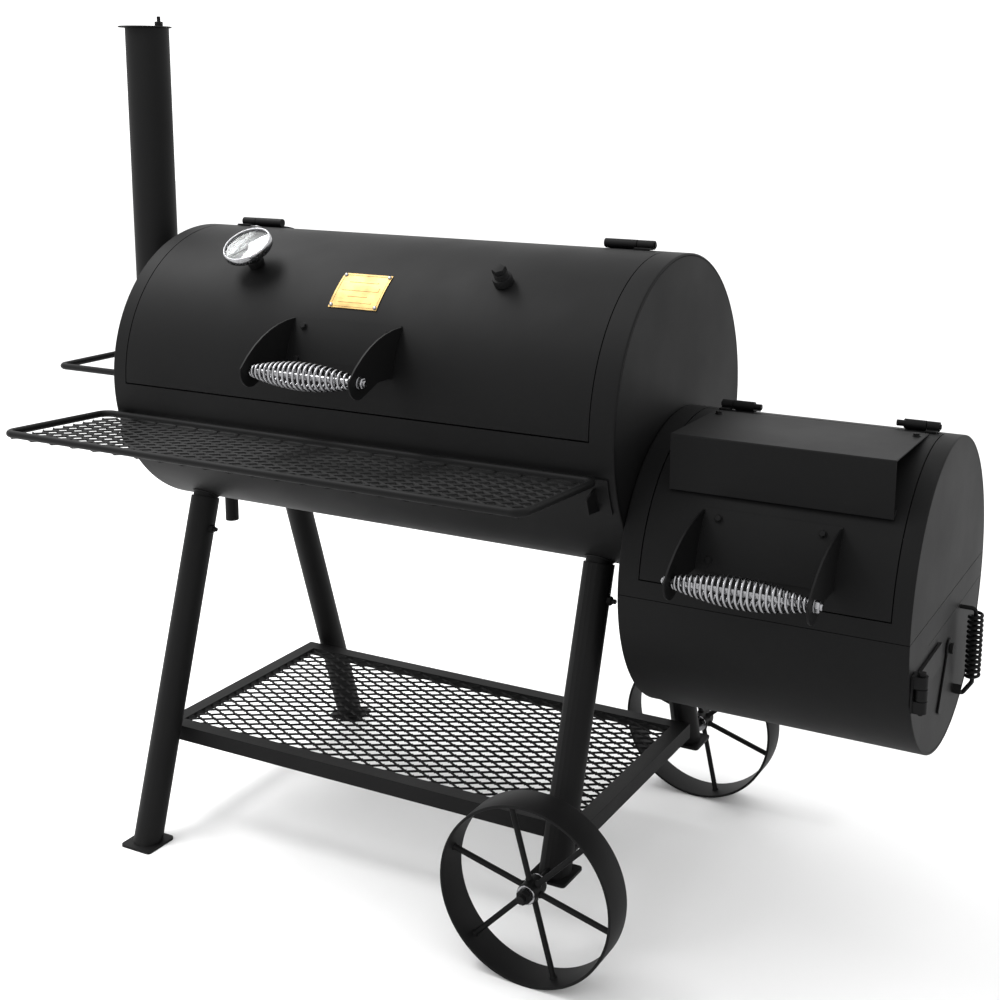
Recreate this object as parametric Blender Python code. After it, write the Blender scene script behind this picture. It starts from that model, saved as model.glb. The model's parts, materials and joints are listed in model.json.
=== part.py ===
"""Offset smoker: a barrel cooking chamber with a lower firebox on its right, on a stand with two wheels.

Metres, +Z up, floor at Z = 0. The front is -Y and the firebox is towards +X.
Every shape is drawn in the chamber's own coordinates: x from the chamber's left end, y from the
vertical plane through its axis, z from the floor. One empty then places the whole object.
An angle round a barrel is in degrees from its front, 0 at the front and 90 at the top.
"""

import math

import bmesh
import bpy
from mathutils import Matrix, Vector

# Driving dimensions
ORIGIN_X = -0.6237  # places the middle of the object's box at the origin
ORIGIN_Y = 0.0535
GAP = 0.0005  # between pieces that touch
WALL = 0.003  # barrel, lid and bracket steel

CHAMBER_R = 0.254
CHAMBER_LENGTH = 0.965
CHAMBER_Z = 0.825
LID_LEFT, LID_RIGHT = 0.028, 0.925
LID_TOP = 94.2
LID_SIDE_GAP = 0.0015
SMOKE_HOLE_R, SMOKE_HOLE_DROP = 0.085, 0.1300  # drop: below the chamber's axis
DRAIN = (0.037, 0, CHAMBER_Z - CHAMBER_R)
GREASE_PIPE_R, GREASE_PIPE_LONG = 0.0125, 0.0580

FIREBOX_R = 0.239
FIREBOX_LEFT = CHAMBER_LENGTH + 0.0015
FIREBOX_RIGHT = 1.4043
FIREBOX_Z = 0.594
FIREBOX_LID_LEFT, FIREBOX_LID_RIGHT = 1.000, 1.378
FIREBOX_LID_BOTTOM = 6.5
END_GAP = 0.0009  # from the halves' joint to each end plate's edge

HINGE_ANGLE = 97.0
HINGE_RISE = 0.0086  # hinge axis above the barrel's surface
HINGE_R, HINGE_PIN_R = 0.0075, 0.0040
MAIN_HINGES = (0.0950, 0.8687)  # x where the fixed barrel meets the lid's barrel
MAIN_HINGE = (0.058, 0.029, 0)  # fixed barrel, lid barrel, bare pin end
FIREBOX_HINGES = (1.0430, 1.3496)
FIREBOX_HINGE = (0.034, 0.0185, 0.0115)

HANDLE_ANGLE = 11.4  # the grip rod's angle round the barrel
HANDLE_REACH = 0.0875  # grip rod in front of the barrel's surface
HANDLE_WIDTH = 0.2084
MAIN_HANDLE_X, MAIN_HANDLE_FOOT = 0.3684, (13.3, 32.6)
FIREBOX_HANDLE_X, FIREBOX_HANDLE_FOOT = 1.0852, (13.7, 35.4)
NUT_R, NUT_LONG = 0.0088, 0.008
ROD_R, ROD_STUD = 0.0048, 0.012

PORT_ANGLE = 54.9  # thermometer and plug, round the chamber
THERMOMETER_X, PLUG_X = 0.2362, 0.7215
NAME_PLATE_X, NAME_PLATE_ANGLES = (0.4240, 0.5180), (37.7, 53.7)

WARMING_X, WARMING_FRONT, WARMING_TOE = (1.025, 1.361), -0.185, 40.9

DOOR_FRONT, DOOR_STEP, DOOR_TOP = -0.140, -0.124, -0.039  # y, y and z from the firebox axis
DOOR_STEP_Z = -0.061
DOOR_HINGE_Y = -0.2124
DOOR_HINGE_Z = -0.0757
DOOR_HINGE_HALF = 0.027
DOOR_HINGE_OUT = 0.013  # pin in front of the firebox's end
DAMPER_Y, DAMPER_Z = 0.0075, -0.0878
VENT_INNER, VENT_OUTER, VENT_ANGLES = 0.032, 0.090, (-108, -66)
FAN_R, FAN_ANGLES, FAN_BOSS = 0.100, (-124, -61), 0.016
DOOR_GRIP_Y, DOOR_GRIP_OUT = 0.084, 0.024
DOOR_GRIP_TOP, DOOR_GRIP_BOTTOM = -0.0525, -0.1610

STACK_X = -0.1232
STACK_R = 0.0397
STACK_TOP = 1.4365
STACK_PIVOT = 0.0292  # cap bolt, from the stack's axis
STACK_BEND = 0.062
CAP_R, CAP_SHIFT = 0.0485, -0.005
SIDE_HANDLE_HALF, SIDE_HANDLE_REACH = 0.195, 0.187

LEG_R = 0.0254
LEG_LEFT, LEG_RIGHT = 0.080, 0.880
LEG_FOOT_Y = 0.3095  # leg axis where it meets the floor
LEG_SLOPE = 0.316  # inward run for each metre of height
LEG_TOP_Z = 0.595
FOOT = 0.033  # half side of a foot plate
FOOT_THICK = 0.005

AXLE_X, AXLE_Z, AXLE_R = LEG_RIGHT, 0.1453, 0.0064
AXLE_HALF = 0.379
AXLE_PLATE_Z = AXLE_Z - AXLE_R - 0.0012 - FOOT_THICK
WHEEL_R, WHEEL_WIDTH, WHEEL_OUTER_Y = 0.1453, 0.058, 0.371
HUB_R, HUB_INNER, HUB_OUTER = 0.0160, 0.3245, 0.3600
SPOKE_R = 0.0046
SPOKE_TURNS = {"front": 45.5, "rear": 42.5}

SHELF_Z = 0.190
SHELF_LEFT, SHELF_RIGHT, SHELF_HALF = 0.046, 0.9035, 0.2220
ANGLE_IRON = 0.028
FRONT_SHELF_LEFT, FRONT_SHELF_RIGHT = -0.018, 0.938
FRONT_SHELF_FRONT, FRONT_SHELF_BACK = -0.480, -0.2575
FRONT_SHELF_RAISED, FRONT_SHELF_Z = 0.777, 0.767  # at the front bar and at the back bar
FRONT_BAR_R = 0.006
SHELF_BRACKETS = {"left": (0.010, 0.0210), "right": (0.930, 0.0)}  # x of the foot, fin along it
BRACKET_ANGLES, BRACKET_FIN_TOP = (-26.0, -12.5), -15.6

GRATE_Z = CHAMBER_Z - 0.022
GRATE_HALF = 0.236
CHARCOAL_Z = FIREBOX_Z - 0.110

X_AXIS, Y_AXIS, Z_AXIS = Vector((1, 0, 0)), Vector((0, 1, 0)), Vector((0, 0, 1))


# Scene, materials and joints
for old in list(bpy.data.objects):
    bpy.data.objects.remove(old)


def finish(name, colour, roughness, metallic):
    made = bpy.data.materials.new(name)
    made.use_nodes = True
    shader = made.node_tree.nodes["Principled BSDF"]
    shader.inputs["Base Color"].default_value = (*colour, 1)
    shader.inputs["Roughness"].default_value = roughness
    shader.inputs["Metallic"].default_value = metallic
    return made


PAINT = finish("black_paint", (0.022, 0.022, 0.023), 0.55, 0.0)
CHROME = finish("chrome", (0.62, 0.62, 0.63), 0.18, 1.0)
BRASS = finish("brass", (0.60, 0.42, 0.16), 0.32, 1.0)
DIAL = finish("dial_white", (0.80, 0.80, 0.78), 0.5, 0.0)
NEEDLE = finish("needle_red", (0.45, 0.03, 0.02), 0.5, 0.0)
GLASS = finish("glass", (0.90, 0.93, 0.93), 0.05, 0.0)
IRON = finish("cast_iron", (0.030, 0.029, 0.028), 0.7, 0.4)


def joint(name, at, parent=None):
    """An empty on a joint's axis. Pieces that move with the joint are its children."""
    made = bpy.data.objects.new(name, None)
    bpy.context.scene.collection.objects.link(made)
    made.empty_display_size = 0.05
    made["at"] = at
    made.parent = parent
    made.location = Vector(at) - Vector(parent["at"]) if parent else Vector(at)
    return made


def hang(piece, holder):
    """Parents a piece drawn in chamber coordinates to a joint's empty, without moving it."""
    piece.parent = holder
    piece.matrix_parent_inverse = Matrix.Translation(-Vector(holder["at"]))
    if holder is SMOKER:
        piece.matrix_parent_inverse = Matrix.Identity(4)


def on_barrel(angle, radius, axis_z):
    """The y and z of a point round a barrel."""
    turn = math.radians(angle)
    return -radius * math.cos(turn), axis_z + radius * math.sin(turn)


def hinge_axis(radius, axis_z):
    y, z = on_barrel(HINGE_ANGLE, radius + HINGE_RISE, axis_z)
    return 0, y, z


def grip_axis(radius, axis_z):
    """The grip rod lies in front of the barrel, a little above its middle."""
    return on_barrel(HANDLE_ANGLE, radius + HANDLE_REACH, axis_z)


SMOKER = joint("smoker", (ORIGIN_X, ORIGIN_Y, 0))
SMOKER["at"] = (0, 0, 0)
MAIN_LID = joint("main_lid_joint", hinge_axis(CHAMBER_R, CHAMBER_Z), SMOKER)
FIREBOX_LID = joint("firebox_lid_joint", hinge_axis(FIREBOX_R, FIREBOX_Z), SMOKER)
DOOR_AXIS_X = FIREBOX_RIGHT + DOOR_HINGE_OUT
DOOR = joint("firebox_door_joint", (DOOR_AXIS_X, DOOR_HINGE_Y, FIREBOX_Z), SMOKER)
DAMPER = joint("air_damper_joint", (FIREBOX_RIGHT, DAMPER_Y, FIREBOX_Z + DAMPER_Z), DOOR)
STACK_CAP = joint("stack_cap_joint", (STACK_X + STACK_PIVOT, 0, STACK_TOP), SMOKER)
WHEELS = {
    end: joint(f"wheel_{end}_joint", (AXLE_X, side * WHEEL_OUTER_Y, AXLE_Z), SMOKER)
    for end, side in (("front", -1), ("rear", 1))
}


# Mesh helpers
def body(name, rings, paint, closed=False, holder=None):
    """One closed solid through a row of rings with equal numbers of points, capped or joined end to start."""
    bm = bmesh.new()
    rows = [[bm.verts.new(point) for point in ring] for ring in rings]
    count = len(rows[0])
    for first, second in zip(rows, rows[1:] + rows[:1] if closed else rows[1:]):
        for i in range(count):
            j = (i + 1) % count
            bm.faces.new((first[i], first[j], second[j], second[i]))
    if not closed:
        bm.faces.new(rows[0])
        bm.faces.new(rows[-1])
    bmesh.ops.recalc_face_normals(bm, faces=bm.faces)
    return as_object(name, bm, paint, holder)


def as_object(name, bm, paint, holder=None):
    mesh = bpy.data.meshes.new(name)
    bm.to_mesh(mesh)
    bm.free()
    mesh.shade_smooth()
    mesh.set_sharp_from_angle(angle=math.radians(32))
    mesh.materials.append(paint)
    made = bpy.data.objects.new(name, mesh)
    bpy.context.scene.collection.objects.link(made)
    hang(made, holder or SMOKER)
    return made


def combine(piece, tool, operation):
    """Adds a live Boolean to a piece. The tool becomes a hidden guide."""
    tool.hide_render = True
    tool.display_type = "WIRE"
    step = piece.modifiers.new(tool.name, "BOOLEAN")
    step.operation = operation
    step.object = tool
    return piece


def circle(centre, across, up, radius, sides):
    turns = [2 * math.pi * i / sides for i in range(sides)]
    return [centre + radius * (math.cos(t) * across + math.sin(t) * up) for t in turns]


def square_to(axis):
    """Two unit vectors that are square to an axis and to each other."""
    across = axis.cross(X_AXIS if abs(axis.x) < 0.9 else Z_AXIS).normalized()
    return across, axis.cross(across)


def turned(name, profile, base, axis, paint, sides=24, closed=False, holder=None):
    """A turned piece: profile holds (radius, height along the axis). A closed profile has a bore."""
    across, up = square_to(axis)
    rings = [circle(Vector(base) + h * axis, across, up, r, sides) for r, h in profile]
    return body(name, rings, paint, closed, holder)


def ring(name, outer, inner, start, end, base, axis, paint, sides=24, holder=None):
    profile = [(outer, start), (outer, end), (inner, end), (inner, start)]
    return turned(name, profile, base, axis, paint, sides, True, holder)


def barrel_piece(name, x, radii, angles, axis_z, paint, step=5, holder=None):
    """A curved plate on a barrel, between two x, two radii and two angles. 360 degrees makes a tube."""
    full = angles[1] - angles[0] >= 360
    count = max(2, round((angles[1] - angles[0]) / step))
    rings = []
    for i in range(count + (0 if full else 1)):
        angle = angles[0] + (angles[1] - angles[0]) * i / count
        inner, outer = (on_barrel(angle, radius, axis_z) for radius in radii)
        rings.append([(x[0], *inner), (x[1], *inner), (x[1], *outer), (x[0], *outer)])
    return body(name, rings, paint, full, holder)


def plate_x(name, outline, start, thick, paint, holder=None):
    """A flat plate across the x axis, from an outline of (y, z) points."""
    rings = [[(x, y, z) for y, z in outline] for x in (start, start + thick)]
    return body(name, rings, paint, False, holder)


def box(name, low, high, paint, holder=None):
    outline = [(low[1], low[2]), (high[1], low[2]), (high[1], high[2]), (low[1], high[2])]
    return plate_x(name, outline, low[0], high[0] - low[0], paint, holder)


def arc(centre, radius, start, end, steps):
    """Points on an arc in the y-z plane, with angles in degrees from +Y towards +Z."""
    turns = [math.radians(start + (end - start) * i / steps) for i in range(steps + 1)]
    return [(centre[0] + radius * math.cos(t), centre[1] + radius * math.sin(t)) for t in turns]


def rounded(points, radius, steps=4, loop=False):
    """A path through the points with each corner turned into an arc of this radius."""
    points = [Vector(point) for point in points]
    made = [] if loop else [points[0]]
    last = len(points)
    for i in range(0 if loop else 1, last if loop else last - 1):
        corner = points[i]
        back = (points[i - 1] - corner).normalized()
        on = (points[(i + 1) % last] - corner).normalized()
        half = back.angle(on) / 2
        centre = corner + (back + on).normalized() * radius / math.sin(half)
        start = corner + back * radius / math.tan(half) - centre
        end = corner + on * radius / math.tan(half) - centre
        made += [centre + radius * start.slerp(end, k / steps) for k in range(steps + 1)]
    return made if loop else made + [points[-1]]


def along(name, path, radii, paint, sides=12, loop=False, flat=Z_AXIS, holder=None):
    """A rod, or a pipe with two radii, along a path that lies in the plane square to flat."""
    rings = {radius: [] for radius in radii}
    for i, point in enumerate(path):
        before = path[i - 1] if i or loop else point
        after = path[(i + 1) % len(path)] if i + 1 < len(path) or loop else point
        side = (after - before).normalized().cross(flat)
        for radius in radii:
            rings[radius].append(circle(point, side, flat, radius, sides))
    if len(radii) == 1:
        return body(name, rings[radii[0]], paint, loop, holder)
    return body(name, rings[radii[0]] + rings[radii[1]][::-1], paint, True, holder)


def slotted(name, x, y, z, slots, paint):
    """A grate: a plate with a row of long slots along y and a rib across the middle."""
    pitch = (x[1] - x[0]) / (slots + 0.5)
    cuts_x = [x[0]]
    for i in range(slots):
        cuts_x += [x[0] + pitch * (i + 0.5), x[0] + pitch * (i + 1)]
    cuts_x.append(x[1])
    rim, middle = 0.012, (y[0] + y[1]) / 2
    cuts_y = [y[0], y[0] + rim, middle - rim / 2, middle + rim / 2, y[1] - rim, y[1]]
    bm = bmesh.new()
    grid = [[bm.verts.new((a, b, z[0])) for b in cuts_y] for a in cuts_x]
    for i in range(len(cuts_x) - 1):
        for j in range(len(cuts_y) - 1):
            if not (i % 2 and j % 2):
                corners = (grid[i][j], grid[i + 1][j], grid[i + 1][j + 1], grid[i][j + 1])
                bm.faces.new(corners)
    thicken(bm, z[1] - z[0])
    return as_object(name, bm, paint)


def expanded_sheet(name, x, y, z, across, along_y, paint):
    """Expanded metal at a coarse pitch: a sheet of cells, each with one diamond opening."""
    bm = bmesh.new()
    cell_x, cell_y = (x[1] - x[0]) / across, (y[1] - y[0]) / along_y
    rim = 0.004
    for i in range(across):
        for j in range(along_y):
            left, low = x[0] + i * cell_x, y[0] + j * cell_y
            ends = ((0, 0), (1, 0), (1, 1), (0, 1))
            outer = [bm.verts.new((left + a * cell_x, low + b * cell_y, z[0])) for a, b in ends]
            mid_x, mid_y = left + cell_x / 2, low + cell_y / 2
            wide, tall = cell_x / 2 - rim, cell_y / 2 - rim
            tips = ((0, -tall), (wide, 0), (0, tall), (-wide, 0))
            inner = [bm.verts.new((mid_x + a, mid_y + b, z[0])) for a, b in tips]
            for k in range(4):
                bm.faces.new((outer[k], outer[(k + 1) % 4], inner[k]))
                bm.faces.new((outer[(k + 1) % 4], inner[(k + 1) % 4], inner[k]))
    bmesh.ops.remove_doubles(bm, verts=bm.verts, dist=0.0001)
    thicken(bm, z[1] - z[0])
    return as_object(name, bm, paint)


def thicken(bm, depth):
    """Gives a flat net of faces a wall upwards."""
    flat = list(bm.faces)
    lifted = bmesh.ops.extrude_face_region(bm, geom=flat, use_keep_orig=True)["geom"]
    moved = [item for item in lifted if isinstance(item, bmesh.types.BMVert)]
    bmesh.ops.translate(bm, verts=moved, vec=(0, 0, depth))
    bmesh.ops.recalc_face_normals(bm, faces=bm.faces)


# Cooking chamber
def leg_axis(z, side):
    """A leg's axis at a height. side is -1 at the front and 1 at the back."""
    return side * (LEG_FOOT_Y - LEG_SLOPE * z)


def leg_pipe(name, x, side, radii, low, top, paint):
    """A splayed tube cut level at its foot and square at its top."""
    axis = Vector((0, -side * LEG_SLOPE, 1)).normalized()
    up = axis.cross(X_AXIS)
    head = Vector((x, leg_axis(top, side), top))
    rings = []
    for radius in radii:
        top_ring = circle(head, X_AXIS, up, radius, 20)
        foot_ring = [point - axis * (point.z - low) / axis.z for point in top_ring]
        rings += [foot_ring, top_ring] if radius == radii[0] else [top_ring, foot_ring]
    return body(name, rings, paint, len(radii) > 1)


def chamber_shell():
    ends = (0, CHAMBER_LENGTH)
    radii = (CHAMBER_R - WALL, CHAMBER_R)
    shell = barrel_piece("main_chamber_shell", ends, radii, (0, 360), CHAMBER_Z, PAINT)
    deep = (CHAMBER_R - 0.05, CHAMBER_R + 0.05)
    mouth = (-0.4, LID_TOP + 0.5)
    opening = barrel_piece("lid_opening", (LID_LEFT, LID_RIGHT), deep, mouth, CHAMBER_Z, PAINT)
    combine(shell, opening, "DIFFERENCE")
    for end, x in (("left", LEG_LEFT), ("right", LEG_RIGHT)):
        for where, side in (("front", -1), ("rear", 1)):
            stub = leg_pipe(f"leg_stub_{where}_{end}", x, side, (0.0222,), 0.53, 0.70, PAINT)
            weld_pipe(shell, stub)
    for where, side in (("front", -1), ("rear", 1)):
        low = (LID_LEFT + 0.01, side * (CHAMBER_R - 0.018), GRATE_Z - 0.009)
        high = (LID_RIGHT - 0.01, side * (CHAMBER_R - 0.0015), GRATE_Z - 0.005)
        pair = [(min(a, b), max(a, b)) for a, b in zip(low, high)]
        ledge = box(f"grate_ledge_{where}", [p[0] for p in pair], [p[1] for p in pair], PAINT)
        combine(shell, ledge, "UNION")
    drain_hole = turned("drain_hole", [(0.0105, -0.05), (0.0105, 0.05)], DRAIN, Z_AXIS, PAINT)
    return combine(shell, drain_hole, "DIFFERENCE")


def weld_pipe(shell, pipe):
    """Joins a stub to the shell from inside the wall outwards."""
    inside = [(CHAMBER_R - WALL / 2, -0.1), (CHAMBER_R - WALL / 2, CHAMBER_LENGTH + 0.1)]
    core = turned(f"{pipe.name}_core", inside, (0, 0, CHAMBER_Z), X_AXIS, PAINT, 72)
    combine(pipe, core, "DIFFERENCE")
    combine(shell, pipe, "UNION")


def chamber():
    chamber_shell()
    cap_r = CHAMBER_R - WALL - GAP
    disc = [(cap_r, 0), (cap_r, WALL)]
    left = turned("main_end_cap_left", disc, (0, 0, CHAMBER_Z), X_AXIS, PAINT, 72)
    flue_profile = [(STACK_R - WALL, -0.02), (STACK_R - WALL, 0.02)]
    flue = turned("flue_hole", flue_profile, (0, 0, CHAMBER_Z), X_AXIS, PAINT)
    combine(left, flue, "DIFFERENCE")
    start = (CHAMBER_LENGTH - WALL, 0, CHAMBER_Z)
    right = turned("main_end_cap_right", disc, start, X_AXIS, PAINT, 72)
    combine(right, smoke_hole("cap_smoke_hole"), "DIFFERENCE")
    drain = [(GREASE_PIPE_R, -GREASE_PIPE_LONG), (GREASE_PIPE_R, -0.004), (0.010, -0.001)]
    drain += [(0.0075, -0.001), (0.0075, -0.004), (GREASE_PIPE_R - WALL, -GREASE_PIPE_LONG)]
    turned("grease_drain", drain, DRAIN, Z_AXIS, PAINT, 24, True)
    width = (LID_RIGHT - LID_LEFT - 0.03) / 3
    for i, place in enumerate(("left", "middle", "right")):
        low = LID_LEFT + 0.014 + i * (width + 0.001)
        reach = (-GRATE_HALF, GRATE_HALF)
        grate_x, grate_z = (low, low + width), (GRATE_Z - 0.004, GRATE_Z + 0.004)
        slotted(f"cooking_grate_{place}", grate_x, reach, grate_z, 8, IRON)


def smoke_hole(name):
    """The round way from the firebox into the chamber."""
    middle = (CHAMBER_LENGTH, 0, CHAMBER_Z - SMOKE_HOLE_DROP)
    return turned(name, [(SMOKE_HOLE_R, -0.02), (SMOKE_HOLE_R, 0.02)], middle, X_AXIS, PAINT, 32)


# Lids, hinges and lid handles
def lid_hinge(name, x, outward, sizes, radius, axis_z, lid):
    """A weld-on barrel hinge: a fixed barrel with the pin, and a shorter one on the lid, outward of it."""
    axis = Vector((x, *hinge_axis(radius, axis_z)[1:]))
    along_x = outward * X_AXIS
    seat = (radius + GAP, radius + 0.0035)
    (long, short, tip), gap = sizes, 0.001
    pin_end = [(HINGE_PIN_R, gap + short + 0.002)]
    fixed = [(HINGE_R, -long), (HINGE_R, 0), (HINGE_PIN_R, 0)] + pin_end
    if tip:
        fixed = [(HINGE_PIN_R + 0.0008, -long - tip), (HINGE_PIN_R + 0.0008, -long)] + fixed
    base = turned(f"{name}_base", fixed, axis, along_x, PAINT, 16)
    ends = sorted((x - outward * 0.001, x - outward * (long - 0.001)))
    tab = barrel_piece(f"{name}_base_tab", ends, seat, (HINGE_ANGLE, 105), axis_z, PAINT, 5)
    combine(base, tab, "UNION")
    leaf_r, bore_r = HINGE_R - 0.0002, HINGE_PIN_R + 0.0005
    leaf = ring(f"{name}_leaf", leaf_r, bore_r, gap, gap + short, axis, along_x, PAINT, 16, lid)
    ends = sorted((x + outward * (gap + 0.001), x + outward * (gap + short - 0.001)))
    leaf_angles = (92.3, HINGE_ANGLE - 0.6)
    leaf_tab = barrel_piece(f"{name}_leaf_tab", ends, seat, leaf_angles, axis_z, PAINT, 4, lid)
    bore = turned(f"{name}_bore", [(bore_r, -0.01), (bore_r, 0.05)], axis, along_x, PAINT, 16, False, lid)
    combine(leaf, leaf_tab, "UNION")
    combine(leaf, bore, "DIFFERENCE")


def handle_fin(name, x, radius, axis_z, foot, lid):
    """A fin's outline: along the barrel, out in a bowed edge to a round nose at the rod, and back."""
    rod = grip_axis(radius, axis_z)
    low, high = foot[0] + 0.3, foot[1] - 0.3
    root = [on_barrel(low + (high - low) * i / 5, radius + 0.0015, axis_z) for i in range(6)]
    nose = arc(rod, 0.026, 165, 300, 8)
    tip = Vector(root[-1])
    start, end = tip, Vector(nose[0])
    bow = (end - start).orthogonal().normalized() * 0.017
    if bow.y < 0:
        bow = -bow
    edge = [start.lerp(end, t) + bow * 4 * t * (1 - t) for t in (0.14, 0.28, 0.42, 0.56, 0.7, 0.85)]
    under = Vector(root[0]).lerp(Vector(nose[-1]), 0.5) + Vector((0.0, 0.007))
    return plate_x(name, root + [tuple(p) for p in edge] + nose + [tuple(under)], x, WALL, PAINT, lid)


def lid_handle(name, left, radius, axis_z, foot, lid):
    """A bent bracket with two fins, a rod with a nut at each end, and a barrel-shaped coil grip on it."""
    seat, width = (radius + GAP, radius + 0.0035), HANDLE_WIDTH
    span = (left + 0.0003, left + width - 0.0003)
    bracket = barrel_piece(f"{name}_handle_bracket", span, seat, foot, axis_z, PAINT, 3, lid)
    rod_at = (left, *grip_axis(radius, axis_z))
    for side, x in (("left", left), ("right", left + width - WALL)):
        combine(bracket, handle_fin(f"{name}_fin_{side}", x, radius, axis_z, foot, lid), "UNION")
    hole = [(ROD_R + 0.0008, -0.03), (ROD_R + 0.0008, width + 0.03)]
    combine(bracket, turned(f"{name}_rod_hole", hole, rod_at, X_AXIS, PAINT, 16, False, lid), "DIFFERENCE")
    rod = [(ROD_R, -ROD_STUD), (ROD_R, -NUT_LONG - GAP), (NUT_R, -NUT_LONG - GAP)]
    rod += [(NUT_R, -GAP), (ROD_R, -GAP)]
    rod += [(r, width - along_x) for r, along_x in reversed(rod)]
    turned(f"{name}_handle_rod", rod, rod_at, X_AXIS, CHROME, 12, False, lid)
    start, long = WALL + 0.001, width - 2 * WALL - 0.002
    outer = [(grip_radius(i / 6), start + long * i / 6) for i in range(7)]
    profile = outer + [(r - 0.0038, along_x) for r, along_x in reversed(outer)]
    turned(f"{name}_handle_grip", profile, rod_at, X_AXIS, CHROME, 14, True, lid)


def grip_radius(t):
    """The coil's outer radius, from one end to the other: narrow ends and a full middle."""
    return 0.0102 + 0.0125 * math.sin(math.pi * t) ** 0.8


def main_lid():
    x, radii = (LID_LEFT + LID_SIDE_GAP, LID_RIGHT - LID_SIDE_GAP), (CHAMBER_R - WALL, CHAMBER_R)
    lid = barrel_piece("main_lid", x, radii, (0.1, LID_TOP), CHAMBER_Z, PAINT, 4.5, MAIN_LID)
    for name, place in (("thermometer", THERMOMETER), ("plug", PLUG)):
        hole = [(0.0125, -0.02), (0.0125, 0.02)]
        hole = turned(f"{name}_hole", hole, place, PORT_AXIS, PAINT, 20, False, MAIN_LID)
        combine(lid, hole, "DIFFERENCE")
    for side, x, outward in (("left", MAIN_HINGES[0], -1), ("right", MAIN_HINGES[1], 1)):
        lid_hinge(f"main_hinge_{side}", x, outward, MAIN_HINGE, CHAMBER_R, CHAMBER_Z, MAIN_LID)
    lid_handle("main", MAIN_HANDLE_X, CHAMBER_R, CHAMBER_Z, MAIN_HANDLE_FOOT, MAIN_LID)
    seat = (CHAMBER_R + GAP, CHAMBER_R + 0.0016)
    barrel_piece("name_plate", NAME_PLATE_X, seat, NAME_PLATE_ANGLES, CHAMBER_Z, BRASS, 4, MAIN_LID)


PORT_AXIS = Vector((0, *on_barrel(PORT_ANGLE, 1, 0)))
THERMOMETER = (THERMOMETER_X, *on_barrel(PORT_ANGLE, CHAMBER_R, CHAMBER_Z))
PLUG = (PLUG_X, *on_barrel(PORT_ANGLE, CHAMBER_R, CHAMBER_Z))
NEEDLE_PIVOT = Vector(THERMOMETER) + 0.0375 * PORT_AXIS
NEEDLE_JOINT = joint("thermometer_needle_joint", NEEDLE_PIVOT, MAIN_LID)


def thermometer():
    """A bi-metal dial on a threaded stem through the lid: case, printed dial, needle and window."""
    case = [(0.0025, -0.075), (0.0025, -0.014), (0.0105, -0.014), (0.0105, 0.0012), (0.0135, 0.0012)]
    case += [(0.0135, 0.012), (0.0085, 0.014), (0.0085, 0.028), (0.0415, 0.032)]
    case += [(0.0428, 0.036), (0.0428, 0.045), (0.0390, 0.047), (0.0390, 0.034)]
    turned("thermometer_case", case, THERMOMETER, PORT_AXIS, CHROME, 28, False, MAIN_LID)
    dial = [(0.0385, 0.0343), (0.0385, 0.0353), (0.0012, 0.0353), (0.0012, 0.0395)]
    turned("thermometer_dial", dial, THERMOMETER, PORT_AXIS, DIAL, 28, False, MAIN_LID)
    window = [(0.0385, 0.0415), (0.0385, 0.0435)]
    turned("thermometer_glass", window, THERMOMETER, PORT_AXIS, GLASS, 28, False, MAIN_LID)
    span = (-0.0006, 0.0008)
    hub = ring("thermometer_needle", 0.0045, 0.0018, *span, NEEDLE_PIVOT, PORT_AXIS, NEEDLE, 16, NEEDLE_JOINT)
    up = PORT_AXIS.cross(X_AXIS)
    out = (X_AXIS * -0.6 + up * -0.8) if up.z > 0 else (X_AXIS * -0.6 + up * 0.8)
    side = PORT_AXIS.cross(out)
    outline = [out * 0.003 + side * 0.0014, out * 0.029, out * 0.003 - side * 0.0014]
    rings = [[NEEDLE_PIVOT + p + PORT_AXIS * h for p in outline] for h in (-0.0005, 0.0007)]
    combine(hub, body("needle_pointer", rings, NEEDLE, False, NEEDLE_JOINT), "UNION")


def port_plug():
    """A threaded bush in the lid with a hexagonal plug."""
    bush = [(0.0110, -0.012), (0.0110, GAP), (0.0160, GAP), (0.0160, 0.013), (0.0140, 0.015)]
    bush += [(0.0118, 0.015), (0.0118, 0.030), (0.0100, 0.033)]
    turned("port_plug", bush, PLUG, PORT_AXIS, PAINT, 20, False, MAIN_LID)


def firebox_lid():
    x = (FIREBOX_LID_LEFT + LID_SIDE_GAP, FIREBOX_LID_RIGHT - LID_SIDE_GAP)
    angles = (FIREBOX_LID_BOTTOM + 0.4, LID_TOP)
    radii = (FIREBOX_R - WALL, FIREBOX_R)
    barrel_piece("firebox_lid", x, radii, angles, FIREBOX_Z, PAINT, 4.5, FIREBOX_LID)
    for side, place, outward in (("left", FIREBOX_HINGES[0], -1), ("right", FIREBOX_HINGES[1], 1)):
        lid_hinge(f"firebox_hinge_{side}", place, outward, FIREBOX_HINGE, FIREBOX_R, FIREBOX_Z, FIREBOX_LID)
    lid_handle("firebox", FIREBOX_HANDLE_X, FIREBOX_R, FIREBOX_Z, FIREBOX_HANDLE_FOOT, FIREBOX_LID)
    warming_plate()


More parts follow.
